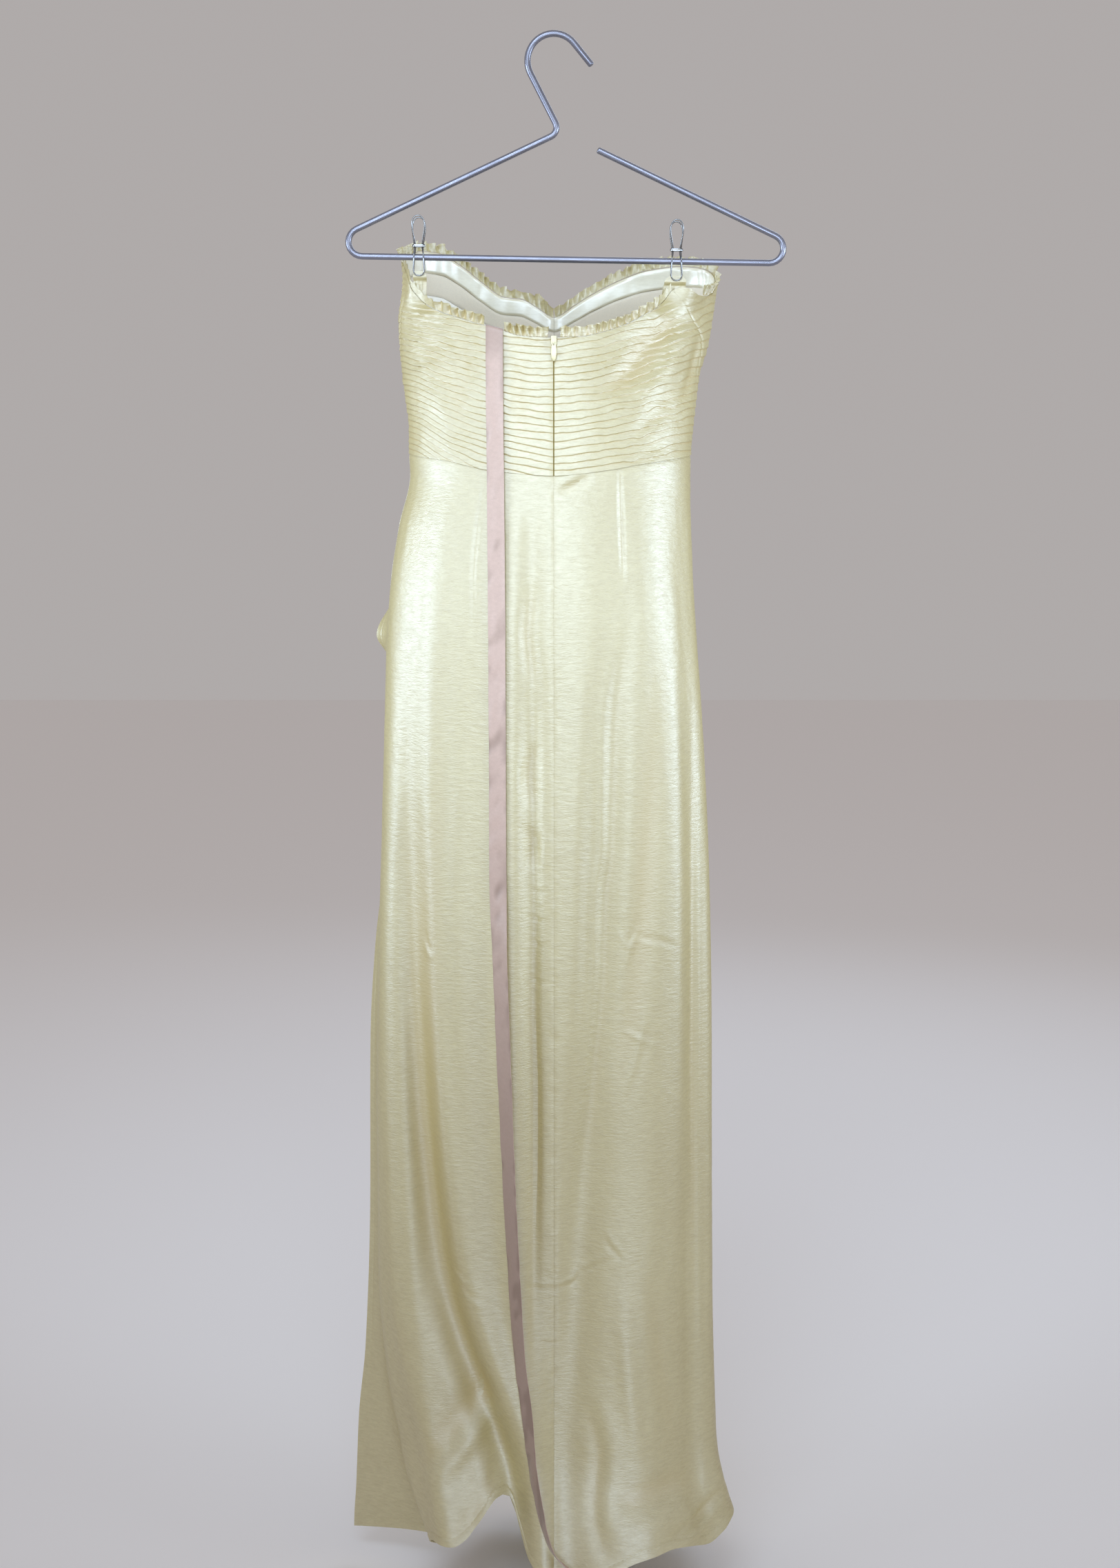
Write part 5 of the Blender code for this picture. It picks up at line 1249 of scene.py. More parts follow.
def new_finish(name, group, values, bump, constants):
    """A material whose Principled shader is fed by a group, with its own values, and by plain constants."""
    made = bpy.data.materials.new(name)
    made.use_nodes = True
    nodes, links = made.node_tree.nodes, made.node_tree.links
    shader = nodes["Principled BSDF"]
    grain = nodes.new("ShaderNodeGroup")
    grain.node_tree = group
    for label, value in values.items():
        grain.inputs[label].default_value = value
    links.new(grain.outputs["Colour"], shader.inputs["Base Color"])
    links.new(grain.outputs["Roughness"], shader.inputs["Roughness"])
    raised = nodes.new("ShaderNodeBump")
    raised.inputs["Strength"].default_value = bump[0]
    raised.inputs["Distance"].default_value = bump[1]
    links.new(grain.outputs["Height"], raised.inputs["Height"])
    links.new(raised.outputs["Normal"], shader.inputs["Normal"])
    for label, value in constants.items():
        shader.inputs[label].default_value = value
    return made, grain, shader


def cloth_finish(colours, look):
    """A cloth's material. The fold colour is painted shade, mixed in by the piece's mask in the bottom of
    folds, hollows and tucks.
    """
    found = bpy.data.materials.get(look.name)
    if found:
        return found
    colour, shade, fold = [tuple(getattr(colours, name)) for name in (look.colour, look.shade, look.fold)]
    values = {"Colour": colour, "Shade": shade, "Tone": look.tone, "Roughness": look.roughness}
    values.update(zip(("Slubs across", "Slubs down", "Threads across", "Threads down"), look.grain))
    made, grain, shader = new_finish(look.name, grain_group(), values, look.relief, look.constants)
    # Painted shade: the fold colour mixed in where the piece's mask is high.
    painted_shade_mask = made.node_tree.nodes.new("ShaderNodeAttribute")
    painted_shade_mask.attribute_name = "fold"
    shaded_colour = mix_colour(made.node_tree, painted_shade_mask.outputs["Fac"], grain.outputs["Colour"], fold)
    made.node_tree.links.new(shaded_colour, shader.inputs["Base Color"])
    return made


def metal_finish(look, colour, worn):
    """A metal's material, with its own colour and the colour of its worn spots."""
    found = bpy.data.materials.get(look.name)
    if found:
        return found
    values = {"Colour": tuple(colour), "Worn colour": tuple(worn)}
    values.update({"Grain": look.grain, "Roughness": look.roughness})
    return new_finish(look.name, brushed_group(), values, look.relief, {"Metallic": look.metallic})[0]


def colour_property(name, description, default):
    return bpy.props.FloatVectorProperty(
        name=name, description=description, default=(*default, 1.0), size=4, min=0.0, max=1.0,
        subtype="COLOR",
    )


def length_property(name, description, default):
    return bpy.props.FloatProperty(
        name=name, description=description, default=default, min=0.0, soft_max=0.05, precision=4,
        subtype="DISTANCE", unit="LENGTH",
    )


def factor_property(name, description, default):
    return bpy.props.FloatProperty(
        name=name, description=description, default=default, min=0.0, max=2.0, subtype="FACTOR"
    )


def power_property(name, description, default):
    return bpy.props.FloatProperty(name=name, description=description, default=default, min=0.0, unit="POWER")


class DressColours(bpy.types.PropertyGroup):
    """Colours of the cloth and the metal."""

    satin: colour_property("Satin", "Pale yellow of the satin", (0.525, 0.44, 0.175))
    satin_shade: colour_property("Satin shade", "Deeper yellow between the slubs", (0.35, 0.265, 0.065))
    # Painted shade: the gold that the shade masks mix into folds, tucks and hollows; the zip tape also takes
    # it as its own darker grain.
    satin_fold: colour_property("Satin fold", "Gold in the bottom of folds and tucks", (0.45, 0.325, 0.08))
    facing: colour_property("Facing", "Cream of the satin inside the neck", (0.92, 0.87, 0.70))
    lining: colour_property("Lining", "Ivory of the lining", (0.97, 0.92, 0.80))
    # The lining's darker weave, and also the painted shade at the ends of the lining bands.
    lining_shade: colour_property("Lining shade", "Darker ivory in the lining's weave", (0.80, 0.76, 0.66))
    grip: colour_property("Grip band", "Grey-beige of the grip band", (0.80, 0.70, 0.54))
    # The grip band's darker threads, and also the painted shade at the band's ends.
    grip_shade: colour_property("Grip band shade", "Darker threads of the grip band", (0.60, 0.54, 0.43))
    ribbon: colour_property("Ribbon", "Dusty pink of the ribbon", (0.60, 0.43, 0.35))
    # Also the painted shade in the ribbon's creases and towards its bottom.
    ribbon_shade: colour_property("Ribbon shade", "Darker pink in the ribbon's creases", (0.27, 0.18, 0.135))
    steel: colour_property("Hanger", "Blue-grey of the hanger's rod", (0.27, 0.27, 0.32))
    wire: colour_property("Pegs", "Bright wire of the pegs", (0.30, 0.30, 0.30))
    zip_pull: colour_property("Zip", "Cream enamel of the zip's slider and pull tab", (0.70, 0.64, 0.42))


class DressForm(bpy.types.PropertyGroup):
    """Sizes of the small forms that lie on the cloth."""

    tuck_relief: length_property("Tuck height", "How far a tuck's lower edge stands out", TUCK_RELIEF)
    ruffle_height: length_property("Ruffle height", "Height of the neck ruffle", 9.2 * MM)
    ruffle_pitch: length_property("Ruffle pitch", "Spacing of the ruffle's pleats", 9.4 * MM)
    ruffle_wave: length_property("Ruffle wave", "How far the pleats stand out each way", 3.1 * MM)
    stitch_length: length_property("Stitch length", "Length of one hem stitch", 2.6 * MM)
    creases: factor_property("Creases", "Strength of the pressed and hanging creases", 1.0)
    unevenness: factor_property("Unevenness", "Strength of the soft unevenness of the hanging cloth", 1.0)


class DressStudio(bpy.types.PropertyGroup):
    """Light of the studio."""

    key: power_property("Key light", "Power of the wide soft light in front", 3.3)
    top: power_property("Top light", "Power of the soft light over the bodice", 2.2)
    side: power_property("Side lights", "Power of each soft light at the sides", 2.1)
    rear: power_property("Rear light", "Power of the soft light behind", 9.0)
    low: power_property("Low light", "Power of the small light near the floor", 0.2)
    world: colour_property("Surroundings", "Colour of the pale surroundings", (0.43, 0.405, 0.40))
    floor: colour_property("Floor", "Colour of the plain floor", (0.97, 0.94, 0.93))


def tuck_places(angles, heights, x):
    """How many tucks up each point lies: the whole part is the tuck and the rest the place in it."""
    low = edge_height(WAIST_SEAM, angles)
    around = (heights - low) / (edge_height(TOP_EDGE, angles) - low)
    xs = [line.x * MM for line in TUCK_LINES]
    back_low = smooth_through(xs, [line.low * MM for line in TUCK_LINES], x)
    back_high = smooth_through(xs, [line.high * MM for line in TUCK_LINES], x)
    on_back = (heights - back_low) / (back_high - back_low)
    share = np.where(np.cos(np.radians(angles)) > 0, on_back, around)
    crushed = smooth_step(*CRUSHED_FROM, angles) * smooth_step(*CRUSHED_TO, angles)
    wobble = sum(humps(kind, x, heights) for kind in TUCK_WAVES)
    return share * TUCK_COUNT + TUCK_WOBBLE * (1.0 + CRUSHED_MORE * crushed) * wobble


def bodice_heights(angles, shares):
    """Heights at shares of the way from the waist seam to the top edge."""
    low = edge_height(WAIST_SEAM, angles)
    return low + (edge_height(TOP_EDGE, angles) - low) * shares[:, None]


def bodice_cloth(name, start, end, columns, form, finish):
    """A pintucked panel. Each tuck rises from its lower edge, which stands over the tuck below."""
    plain = np.linspace(1, 0, BODICE_ROWS)
    angles = bodice_angles(start, end, plain, columns)
    angles[:, 0] += SEAM_GAP_ANGLE
    angles[:, -1] -= SEAM_GAP_ANGLE
    heights = bodice_heights(angles, plain)
    heights[0] -= 0.5 * FINE_SEAM_GAP
    heights[-1] += 0.5 * FINE_SEAM_GAP
    base = form_point(angles, heights)
    normals = form_normal(angles, heights)
    x = base[..., 0]
    free = 1 - clip_pull(angles, x, heights)
    tucks = tuck_places(angles, heights, x)
    place = tucks - np.floor(tucks)
    rise = smooth_step(0.0, TUCK_STEPS_OVER, place) * (1 - place) ** TUCK_FALL
    uneven = TUCK_EVEN + humps(TUCK_UNEVEN, x, np.floor(tucks) * TUCK_SEED_STEP)
    tuck = form.tuck_relief * rise * uneven * free
    facing_back = np.cos(np.radians(angles)) > 0
    soft = np.where(facing_back, crease_relief(BODICE_CREASES, base), 0.0) * form.creases
    drape = drape_relief(angles, heights, BODICE_DRAPE_SEED) * BODICE_DRAPE * form.unevenness
    soft = (soft + drape) * free
    dip = seam_dip(edge_distance(base)) * free
    # Painted shade: a dark line beside each tuck's step, and more in the creases' hollows.
    line = np.maximum(smooth_step(TUCK_SHADE_ABOVE, 0.0, place), smooth_step(TUCK_SHADE_BELOW, 1.0, place))
    shade = np.clip(line * free + np.clip(-soft / BODICE_HOLLOW, 0, BODICE_HOLLOW_TONE), 0, 1)
    outer = base + normals * (tuck + soft + dip)[..., None]
    under = base + normals * (soft - WALL)[..., None]
    flat = base[::BODICE_STEP[0]]
    cloth_piece(name, outer, under, BODICE_STEP, flat, finish, shade)


def top_edges(start, end):
    """The outer and inner lines of a bodice panel's top edge."""
    shares = np.array([1.0, 1.0 - EDGE_STEP_SHARE])
    angles = bodice_angles(start, end, shares, np.linspace(0, 1, RUFFLE_EDGE_COLUMNS))
    heights = edge_height(TOP_EDGE, angles)
    heights[1] -= EDGE_STEP
    base = form_point(angles, heights)[0]
    return base, base - form_normal(angles, heights)[0] * WALL


def ruffle_cloth(name, edges, form, finish, seed, low_x=None, high_x=None, start=0.0, flap=0.0):
    """A pleated strip that stands on a panel's top edge, over the CAD ruffle of the same name."""
    front, back = edges
    places = np.r_[start * (len(front) - 1), np.arange(int(start * (len(front) - 1)) + 1, len(front))]
    if low_x is not None:
        places = cut_line(front, low_x, high_x)
    front, back = read_line(front, places), read_line(back, places)
    places = run_along(front, RUFFLE_STEP)
    front, back = read_line(front, places), read_line(back, places)
    middle = 0.5 * (front + back)
    middle[:, 2] = np.maximum(front[:, 2], back[:, 2])
    out = unit((front - back) * (1, 1, 0))
    near_clip = np.zeros(len(middle))
    for clip in CLIPS:
        apart = np.hypot(middle[:, 0] - clip_place(clip)[0], middle[:, 1])
        near_clip = np.maximum(near_clip, smooth_step(CLIP_PULL_RADIUS, CLIP_FLAT_RADIUS, apart))
    calm = (1 - near_clip)[:, None]
    run = np.gradient(middle, axis=0)
    step = np.linalg.norm(run, axis=1)
    steep = (np.hypot(run[:, 0], run[:, 1]) / step)[:, None]
    along = run / step[:, None]
    travelled = np.cumsum(step)
    pitch = form.ruffle_pitch * change(PLEAT_PITCH, travelled, seed)
    share = np.linspace(1, 0, RUFFLE_ROWS)[None, :]
    turn = 2 * np.pi * np.cumsum(step / pitch)
    turn = turn[:, None] + share * change(PLEAT_TWIST, travelled, seed)[:, None]
    box = np.tanh(PLEAT_SQUARE * np.sin(turn)) / np.tanh(PLEAT_SQUARE)
    size = PLEAT_FOOT + (1 - PLEAT_FOOT) * share ** PLEAT_GROWTH
    size = size * change(PLEAT_SIZE, travelled, seed)[:, None]
    curl = change(PLEAT_CURL, travelled, seed)[:, None] * CURL_REACH * share ** 3
    wave = (box * form.ruffle_wave * size + curl) * calm
    lean = smooth_step(LEAN_STARTS, 1.0, np.abs(out[:, 0]))[:, None] * RUFFLE_LEAN * calm * share
    slide = PLEAT_SLIDE * np.sin(2 * turn + PLEAT_SLIDE_TURN) * share * calm
    uneven = 1 + (change(PLEAT_HEIGHT, travelled, seed)[:, None] - PLEAT_DROP * box) * share
    uneven = uneven + flap * hill(travelled - FLAP_PLACE, FLAP_REACH)[:, None]
    tall = form.ruffle_height * (RUFFLE_HELD_HEIGHT + (1 - RUFFLE_HELD_HEIGHT) * calm)
    rise = RUFFLE_FOOT_GAP / steep + share * tall * uneven
    points = middle[:, None] + out[:, None] * (wave + lean)[..., None] + along[:, None] * slide[..., None]
    points = points + np.array([0, 0, 1.0]) * rise[..., None]
    points = set_in(np.swapaxes(points, 0, 1), SEAM_GAP)
    half = grid_normals(points) * 0.5 * FINE_RUFFLE_WALL
    # Painted shade in the pleats' hollows and near the foot.
    inside = PLEAT_HOLLOW_TONE * smooth_step(*PLEAT_HOLLOW, box) * (1 - PLEAT_HOLLOW_FADE * share)
    inside = (inside + RUFFLE_FOOT_SHADE_TONE * (1 - share) ** 2) * calm
    shade = np.clip(np.swapaxes(inside, 0, 1), 0, 1)
    outer, under = points + half, points - half
    cloth_piece(name, outer, under, RUFFLE_STEPS, points, finish, shade)


def inner_band(side, edges, columns, band, shares, seed, finish):
    """A band on the inside of a bodice panel, with soft folds on the side that shows."""
    angles = bodice_angles(*edges, shares, columns)
    heights = bodice_heights(angles, shares)
    normals = form_normal(angles, heights)
    base = set_in(form_point(angles, heights) - normals * (WALL + band.gap), 0.5 * SEAM_GAP)
    depth, across, down = band.puff
    puffed = 0.5 + 0.5 * soft_noise(angles / across, heights / down + angles / BAND_SLANT, seed)
    calm = smooth_step(0, BAND_SIDE_CALM, edge_distance(base))
    from_foot, from_top = foot_distance(base), foot_distance(base[::-1])[::-1]
    ends = smooth_step(0, BAND_END_CALM, from_foot) * smooth_step(0, BAND_END_CALM, from_top)
    relief = depth * puffed * calm * ends + BAND_STAND * ends
    inner = base - normals * (FINE_BAND_WALL + relief)[..., None]
    name = f"{band.name}_{side}"
    # Painted shade at the band's ends.
    shade = (1 - ends) * BAND_END_SHADE_TONE
    cloth_piece(name, inner, base, SMALL_STEP, base, finish, shade, inward=True)


def peg_tab_cloth(clip, finish):
    """The piece of facing that comes up from inside the back to a peg's jaws."""
    across = np.linspace(-1, 1, TAB_COLUMNS)
    down = np.linspace(0, 1, TAB_ROWS)[:, None]
    turned = clip.angle + TAB_HALF_ANGLE * across
    top = clip.height - TAB_SHOULDER * across ** 4
    heights = top + (edge_height(TOP_EDGE, turned) - TAB_TUCKED_IN - top) * down
    angles = np.broadcast_to(turned, heights.shape)
    normals = form_normal(angles, heights)
    sunk = clip.height - heights
    depth = (WALL + TAB_GAP) * smooth_step(TAB_FORWARD_TOP, TAB_FORWARD_FOOT, sunk)
    base = form_point(angles, heights) - normals * depth[..., None]
    free = smooth_step(TAB_FORWARD_TOP, TAB_FORWARD_FOOT + TAB_LOOSE_RUN, sunk)
    relief = free * humps(TAB_WAVES, across, heights)
    outer = base + normals * relief[..., None]
    under = base - normals * WALL
    # Painted shade in the tab's hollows.
    shade = hollow_shade(relief, TAB_HOLLOW, TAB_HOLLOW_TONE)
    cloth_piece(f"peg_tab_{clip.name}", outer, under, SMALL_STEP, base, finish, shade)


def under_ribbon(points):
    """1 where the ribbon hangs in front of the cloth, 0 away from it."""
    return hill(points[..., 0] - column(RIBBON_DROP, "x", points[..., 2]), RIBBON_CALM)


def skirt_relief(points, angles, creases, form, seed, seams=True):
    """All the small relief of a skirt panel, except where a seam or the ribbon holds it calm."""
    from_top = foot_distance(points[::-1])[::-1]
    loose = WAIST_DRAPE + (1 - WAIST_DRAPE) * smooth_step(0, WAIST_CALM, from_top)
    relief = drape_relief(angles, points[..., 2], seed) * form.unevenness * loose
    relief = relief + crease_relief(creases, points) * form.creases
    relief = relief * (1 - RIBBON_HOLDS * under_ribbon(points) * (points[..., 1] < 0))
    if seams:
        from_side = edge_distance(points)
        near = hill(from_side, SEAM_CALM)
        relief = relief * (1 - SEAM_HOLDS * near) + seam_dip(from_side)
        relief = relief + humps(PUCKER, points[..., 2], angles, seed) * near
    return relief + seam_dip(from_top) + hem_relief(foot_distance(points))


def skirt_panel(name, base, normals, relief, step, shade, form, finish):
    """A skirt panel's cloth and the stitches of its hem."""
    outer = base + normals * relief[..., None]
    cloth_piece(name, outer, outer - normals * WALL, step, base, finish, shade)
    hem_stitches(name, outer, normals, form, finish)


def skirt_cloth(name, start, end, grid, creases, form, finish):
    """A skirt panel from the waist seam to the hem."""
    angles = np.broadcast_to(start + (end - start) * np.linspace(0, 1, grid[1]), grid)
    wrapped = angle_apart(angles, 0.0)
    top = edge_height(WAIST_SEAM, wrapped)
    heights = top + (edge_height(HEM, wrapped) - top) * skirt_drop(grid[0])[:, None]
    base = set_in(form_point(wrapped, heights), 0.5 * FINE_SEAM_GAP)
    normals = form_normal(wrapped, heights)
    relief = skirt_relief(base, angles, creases, form, SKIRT_SEED)
    # Painted shade in the panel's hollows.
    shade = hollow_shade(relief, SKIRT_HOLLOW, SKIRT_HOLLOW_TONE)
    skirt_panel(name, base, normals, relief, SKIRT_STEP, shade, form, finish)


def hem_stitches(name, points, normals, form, finish):
    """Stitches on the line where the hem is turned up."""
    row = np.abs(foot_distance(points) - HEM_BAND).argmin(axis=0)
    columns = np.arange(points.shape[1])
    line = points[row, columns]
    facing = normals[row, columns]
    reach = 0.5 * form.stitch_length
    verts, faces = [], []
    for place in run_along(line, STITCH_SPACING * form.stitch_length)[1:-2]:
        i = int(place)
        run = line[i + 1] - line[i]
        heading = unit(run)
        aside = np.cross(heading, facing[i]) * STITCH_HALF_WIDTH
        centre = line[i] + run * (place - i) + facing[i] * STITCH_LIFT
        first = len(verts)
        for end, sink in ((-reach, STITCH_END_SINK), (0.0, 0.0), (reach, STITCH_END_SINK)):
            middle = centre + heading * end - facing[i] * sink
            for a, b in ((-1, 0), (0, 1), (1, 0), (0, -1)):
                verts.append(middle + aside * a + facing[i] * b * STITCH_HALF_DEPTH)
        for ring in (first, first + 4):
            for k in range(4):
                after = (k + 1) % 4
                faces.append([ring + k, ring + after, ring + 4 + after, ring + 4 + k])
        faces.append([first + 3, first + 2, first + 1, first])
        faces.append([first + 8, first + 9, first + 10, first + 11])
    dress_piece(mesh_object(f"{name}_hem_stitches", verts, faces, finish), None)


def strip_cloth(form, finish):
    """The narrow front strip, which folds out at the hip and flares at the hem."""
    base = set_in(strip_grid(*STRIP_GRID), SEAM_GAP)
    normals = grid_normals(base)
    angles = np.broadcast_to(np.linspace(SLIT_ANGLE, SKIRT_LEFT_SEAM, STRIP_GRID[1]), STRIP_GRID)
    relief = skirt_relief(base, angles, (), form, STRIP_SEED, seams=False)
    free = np.linalg.norm(base - base[:, :1], axis=-1)
    groove = HEM_GROOVE * hill(free - HEM_BAND, STRIP_GROOVE_REACH)
    relief = relief * smooth_step(0, STRIP_EDGE_CALM, free) - groove
    # Painted shade in the strip's hollows.
    shade = hollow_shade(relief, STRIP_HOLLOW, STRIP_HOLLOW_TONE)
    skirt_panel("skirt_front_strip", base, normals, relief, STRIP_STEP, shade, form, finish)


def ribbon_rows():
    """The ribbon's two edges from its end inside, over the top edge and down outside, past the hem."""
    edge = float(edge_height(TOP_EDGE, angle_at(RIBBON_TOP_X, RIBBON_EDGE_HEIGHT)))
    foot = edge - RIBBON_FOLD_DROP
    rows = [ribbon_inside(height) for height in np.linspace(RIBBON_INSIDE_END, foot, RIBBON_INSIDE_ROWS)]
    rows += ribbon_over()
    for height in np.linspace(foot, RIBBON_DROP[0].height * MM, RIBBON_OUTSIDE_ROWS):
        away = RIBBON_STAND_OFF * smooth_step(edge - RIBBON_STAND_STARTS, edge - RIBBON_STAND_FULL, height)
        rows.append(ribbon_outside(height) - np.array([0.0, away, 0.0]))
    return np.array(rows)


def ribbon_cloth(finish):
    """The long narrow ribbon, with small creases across it."""
    edges = ribbon_rows()
    travelled = np.r_[0, np.cumsum(np.linalg.norm(np.diff(edges.mean(axis=1), axis=0), axis=1))]
    dense = np.linspace(0, travelled[-1], RIBBON_GRID[0])
    lines = []
    for edge in (0, 1):
        line = [smooth_through(travelled, edges[:, edge, k], dense) for k in range(3)]
        lines.append(np.stack(line, -1)[:, None])
    u = np.linspace(0, 1, RIBBON_GRID[1])[None, :, None]
    base = lines[0] * (1 - u) + lines[1] * u
    normals = grid_normals(base)
    s = dense[:, None]
    t = np.linspace(-1, 1, RIBBON_GRID[1])[None, :]
    relief = RIBBON_LIFT
    for wave in RIBBON_WAVES:
        along = s / wave.spacing + wave.slant * t
        relief = relief + wave.depth * soft_noise(along, wave.change * t, wave.seed)
    outside = travelled[RIBBON_INSIDE_ROWS + len(RIBBON_OVER)]
    relief = relief * MM * smooth_step(0, RIBBON_CREASES_RUN, s - outside) - RIBBON_CUP * t ** 4
    half = 0.5 * FINE_RIBBON_WALL
    outer = base + normals * (relief + half)[..., None]
    under = base + normals * (relief - half)[..., None]
    # Painted shade: darker towards the bottom, and in the hollows between the creases.
    painted_low_shade = RIBBON_LOW_SHADE_TONE * smooth_step(RIBBON_LOW_SHADE_STARTS, RIBBON_LOW_SHADE_FULL, base[..., 2])
    shade = np.clip(hollow_shade(relief - RIBBON_CREST, RIBBON_HOLLOW, RIBBON_HOLLOW_TONE) + painted_low_shade, 0, 1)
    cloth_piece("ribbon", outer, under, NARROW_STEP, base, finish, shade)


def tape_cloth(finish):
    """The zip's tape behind the centre-back seam."""
    low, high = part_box("zip_tape")
    down = np.linspace(high[2] - TAPE_END, low[2] + TAPE_END, TAPE_GRID[0])
    heights = np.broadcast_to(down[:, None], TAPE_GRID)
    angles = np.broadcast_to(np.linspace(-ZIP_TAPE_ANGLE, ZIP_TAPE_ANGLE, TAPE_GRID[1]), TAPE_GRID)
    normals = form_normal(angles, heights)
    base = form_point(angles, heights) - normals * (WALL + ZIP_TAPE_GAP)
    cloth_piece("zip_tape", base, base - normals * FINE_BAND_WALL, NARROW_STEP, base, finish)


def block(verts, faces, low, high):
    """Adds a box between two corners to lists of points and faces."""
    first = len(verts)
    for x in (low[0], high[0]):
        for y in (low[1], high[1]):
            for z in (low[2], high[2]):
                verts.append((x, y, z))
    for face in ((0, 1, 3, 2), (4, 6, 7, 5), (0, 4, 5, 1), (2, 3, 7, 6), (0, 2, 6, 4), (1, 5, 7, 3)):
        faces.append([first + k for k in face])


def zip_teeth(finish):
    """The closed coil of the zip, seen through the opening between the two back panels."""
    verts, faces = [], []
    for k, height in enumerate(np.arange(COIL_TOP, COIL_FOOT, -TOOTH_SPACING)):
        surface = float(form_point(np.array(0.0), np.array(height))[1]) + WALL
        side = TOOTH_SIDE if k % 2 else -TOOTH_SIDE
        near, far = [surface + depth for depth in TOOTH_DEPTHS]
        low = (side - TOOTH_HALF_WIDTH, near, height - TOOTH_HALF_HEIGHT)
        block(verts, faces, low, (side + TOOTH_HALF_WIDTH, far, height + TOOTH_HALF_HEIGHT))
    dress_piece(mesh_object("zip_teeth", verts, faces, finish), None)


def rounded_metal(node, body, finish, width):
    """A CAD metal part again with its edges rounded."""
    source = bpy.data.objects[node]
    mesh = source.data.copy()
    bm = bmesh.new()
    bm.from_mesh(mesh)
    bmesh.ops.remove_doubles(bm, verts=bm.verts, dist=JOIN_DISTANCE)
    bmesh.ops.dissolve_limit(bm, angle_limit=np.radians(FLAT_ANGLE), verts=bm.verts, edges=bm.edges)
    joined = [edge for edge in bm.edges if len(edge.link_faces) == 2]
    sharp = [edge for edge in joined if edge.calc_face_angle() > np.radians(ROUNDED_ANGLE)]
    bmesh.ops.bevel(
        bm, geom=sharp, offset=width, segments=ROUND_SEGMENTS, profile=0.5, affect="EDGES", clamp_overlap=True
    )
    bm.to_mesh(mesh)
    bm.free()
    mesh.shade_smooth()
    mesh.set_sharp_from_angle(angle=np.radians(SHARP_ANGLE))
    mesh.materials.clear()
    mesh.materials.append(finish)
    made = bpy.data.objects.new(f"{node}_rounded", mesh)
    made.matrix_world = source.matrix_world
    bpy.context.scene.collection.objects.link(made)
    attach(made, body)
    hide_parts(node)


def rod(name, path, radius, sides, finish, closed=False):
    """A round rod along a path in or near the plane of X and Z, with rounded ends where it is open."""
    path = np.asarray(path, float)
    radii = np.full(len(path), radius)
    if not closed:
        turns = np.radians(ROD_END_TURNS)
        sizes = radius * np.cos(turns)
        insets = radius * ROD_END_LENGTH * (1 - np.sin(turns))
        for end, inner in ((0, 1), (-1, -2)):
            caps = path[end] - unit(path[end] - path[inner]) * insets[:, None]
            if end == 0:
                path = np.r_[caps[::-1], path[1:]]
                radii = np.r_[sizes[::-1], radii[1:]]
            else:
                path = np.r_[path[:-1], caps]
                radii = np.r_[radii[:-1], sizes]
    count = len(path)
    if closed:
        heading = np.roll(path, -1, axis=0) - np.roll(path, 1, axis=0)
    else:
        heading = np.gradient(path, axis=0)
    heading = unit(heading)
    side = unit(np.cross(heading, (0.0, 1.0, 0.0)))
    up = np.cross(side, heading)
    turns = np.linspace(0, 2 * np.pi, sides, endpoint=False)
    ring = np.cos(turns)[None, :, None] * side[:, None] + np.sin(turns)[None, :, None] * up[:, None]
    points = path[:, None] + radii[:, None, None] * ring
    index = np.arange(count * sides).reshape(count, sides)
    after = np.roll(index, -1, axis=1)
    last = count if closed else count - 1
    faces = []
    for i in range(last):
        j = (i + 1) % count
        faces += [[index[i, k], index[j, k], after[j, k], after[i, k]] for k in range(sides)]
    if not closed:
        faces.append(index[0].tolist())
        faces.append(index[-1, ::-1].tolist())
    return mesh_object(name, points.reshape(-1, 3), faces, finish)


def rounded_loop(path):
    """A closed path with its corners cut smooth."""
    path = np.asarray(path, float)
    share = CORNER_SHARE
    for _ in range(CORNER_CUTS):
        after = np.roll(path, -1, axis=0)
        cuts = [(1 - share) * path + share * after, share * path + (1 - share) * after]
        path = np.stack(cuts, 1).reshape(-1, 3)
    return path


def peg(clip, finish):
    """A wire peg on the bar: two bent wires that cross at the neck, and the spring band round them."""
    x, edge = clip_place(clip)
    bar = bar_height(x)
    for part, facing, neck in (("front_wire", -1, FRONT_WIRE_NECK), ("back_wire", 1, BACK_WIRE_NECK)):
        node = f"clip_{clip.name}_{part}"
        path = rounded_loop(clip_wire(x, edge - CLIP_GRIP_DEPTH, bar, facing, neck))
        dress_piece(rod(f"{node}_round", path, WIRE_RADIUS, WIRE_SIDES, finish, True), node)
    verts, faces = [], []
    for ring in SPRING_BAND:
        straight = ring.half_width - ring.half_depth
        height = bar + NECK_RISE + ring.height * MM
        for centre, start in ((straight, -90), (-straight, 90)):
            for turn in np.radians(start + np.linspace(0, 180, SPRING_STEPS)):
                across = x + (centre + ring.half_depth * np.cos(turn)) * MM
                verts.append((across, ring.half_depth * np.sin(turn) * MM, height))
    count = 2 * SPRING_STEPS
    loops = np.arange(len(verts)).reshape(-1, count).tolist()
    for one, other in zip(loops, loops[1:] + loops[:1]):
        for k in range(count):
            after = (k + 1) % count
            faces.append([other[k], other[after], one[after], one[k]])
    spring = mesh_object(f"clip_{clip.name}_spring_band", verts, faces, finish)
    dress_piece(spring, f"clip_{clip.name}_spring")


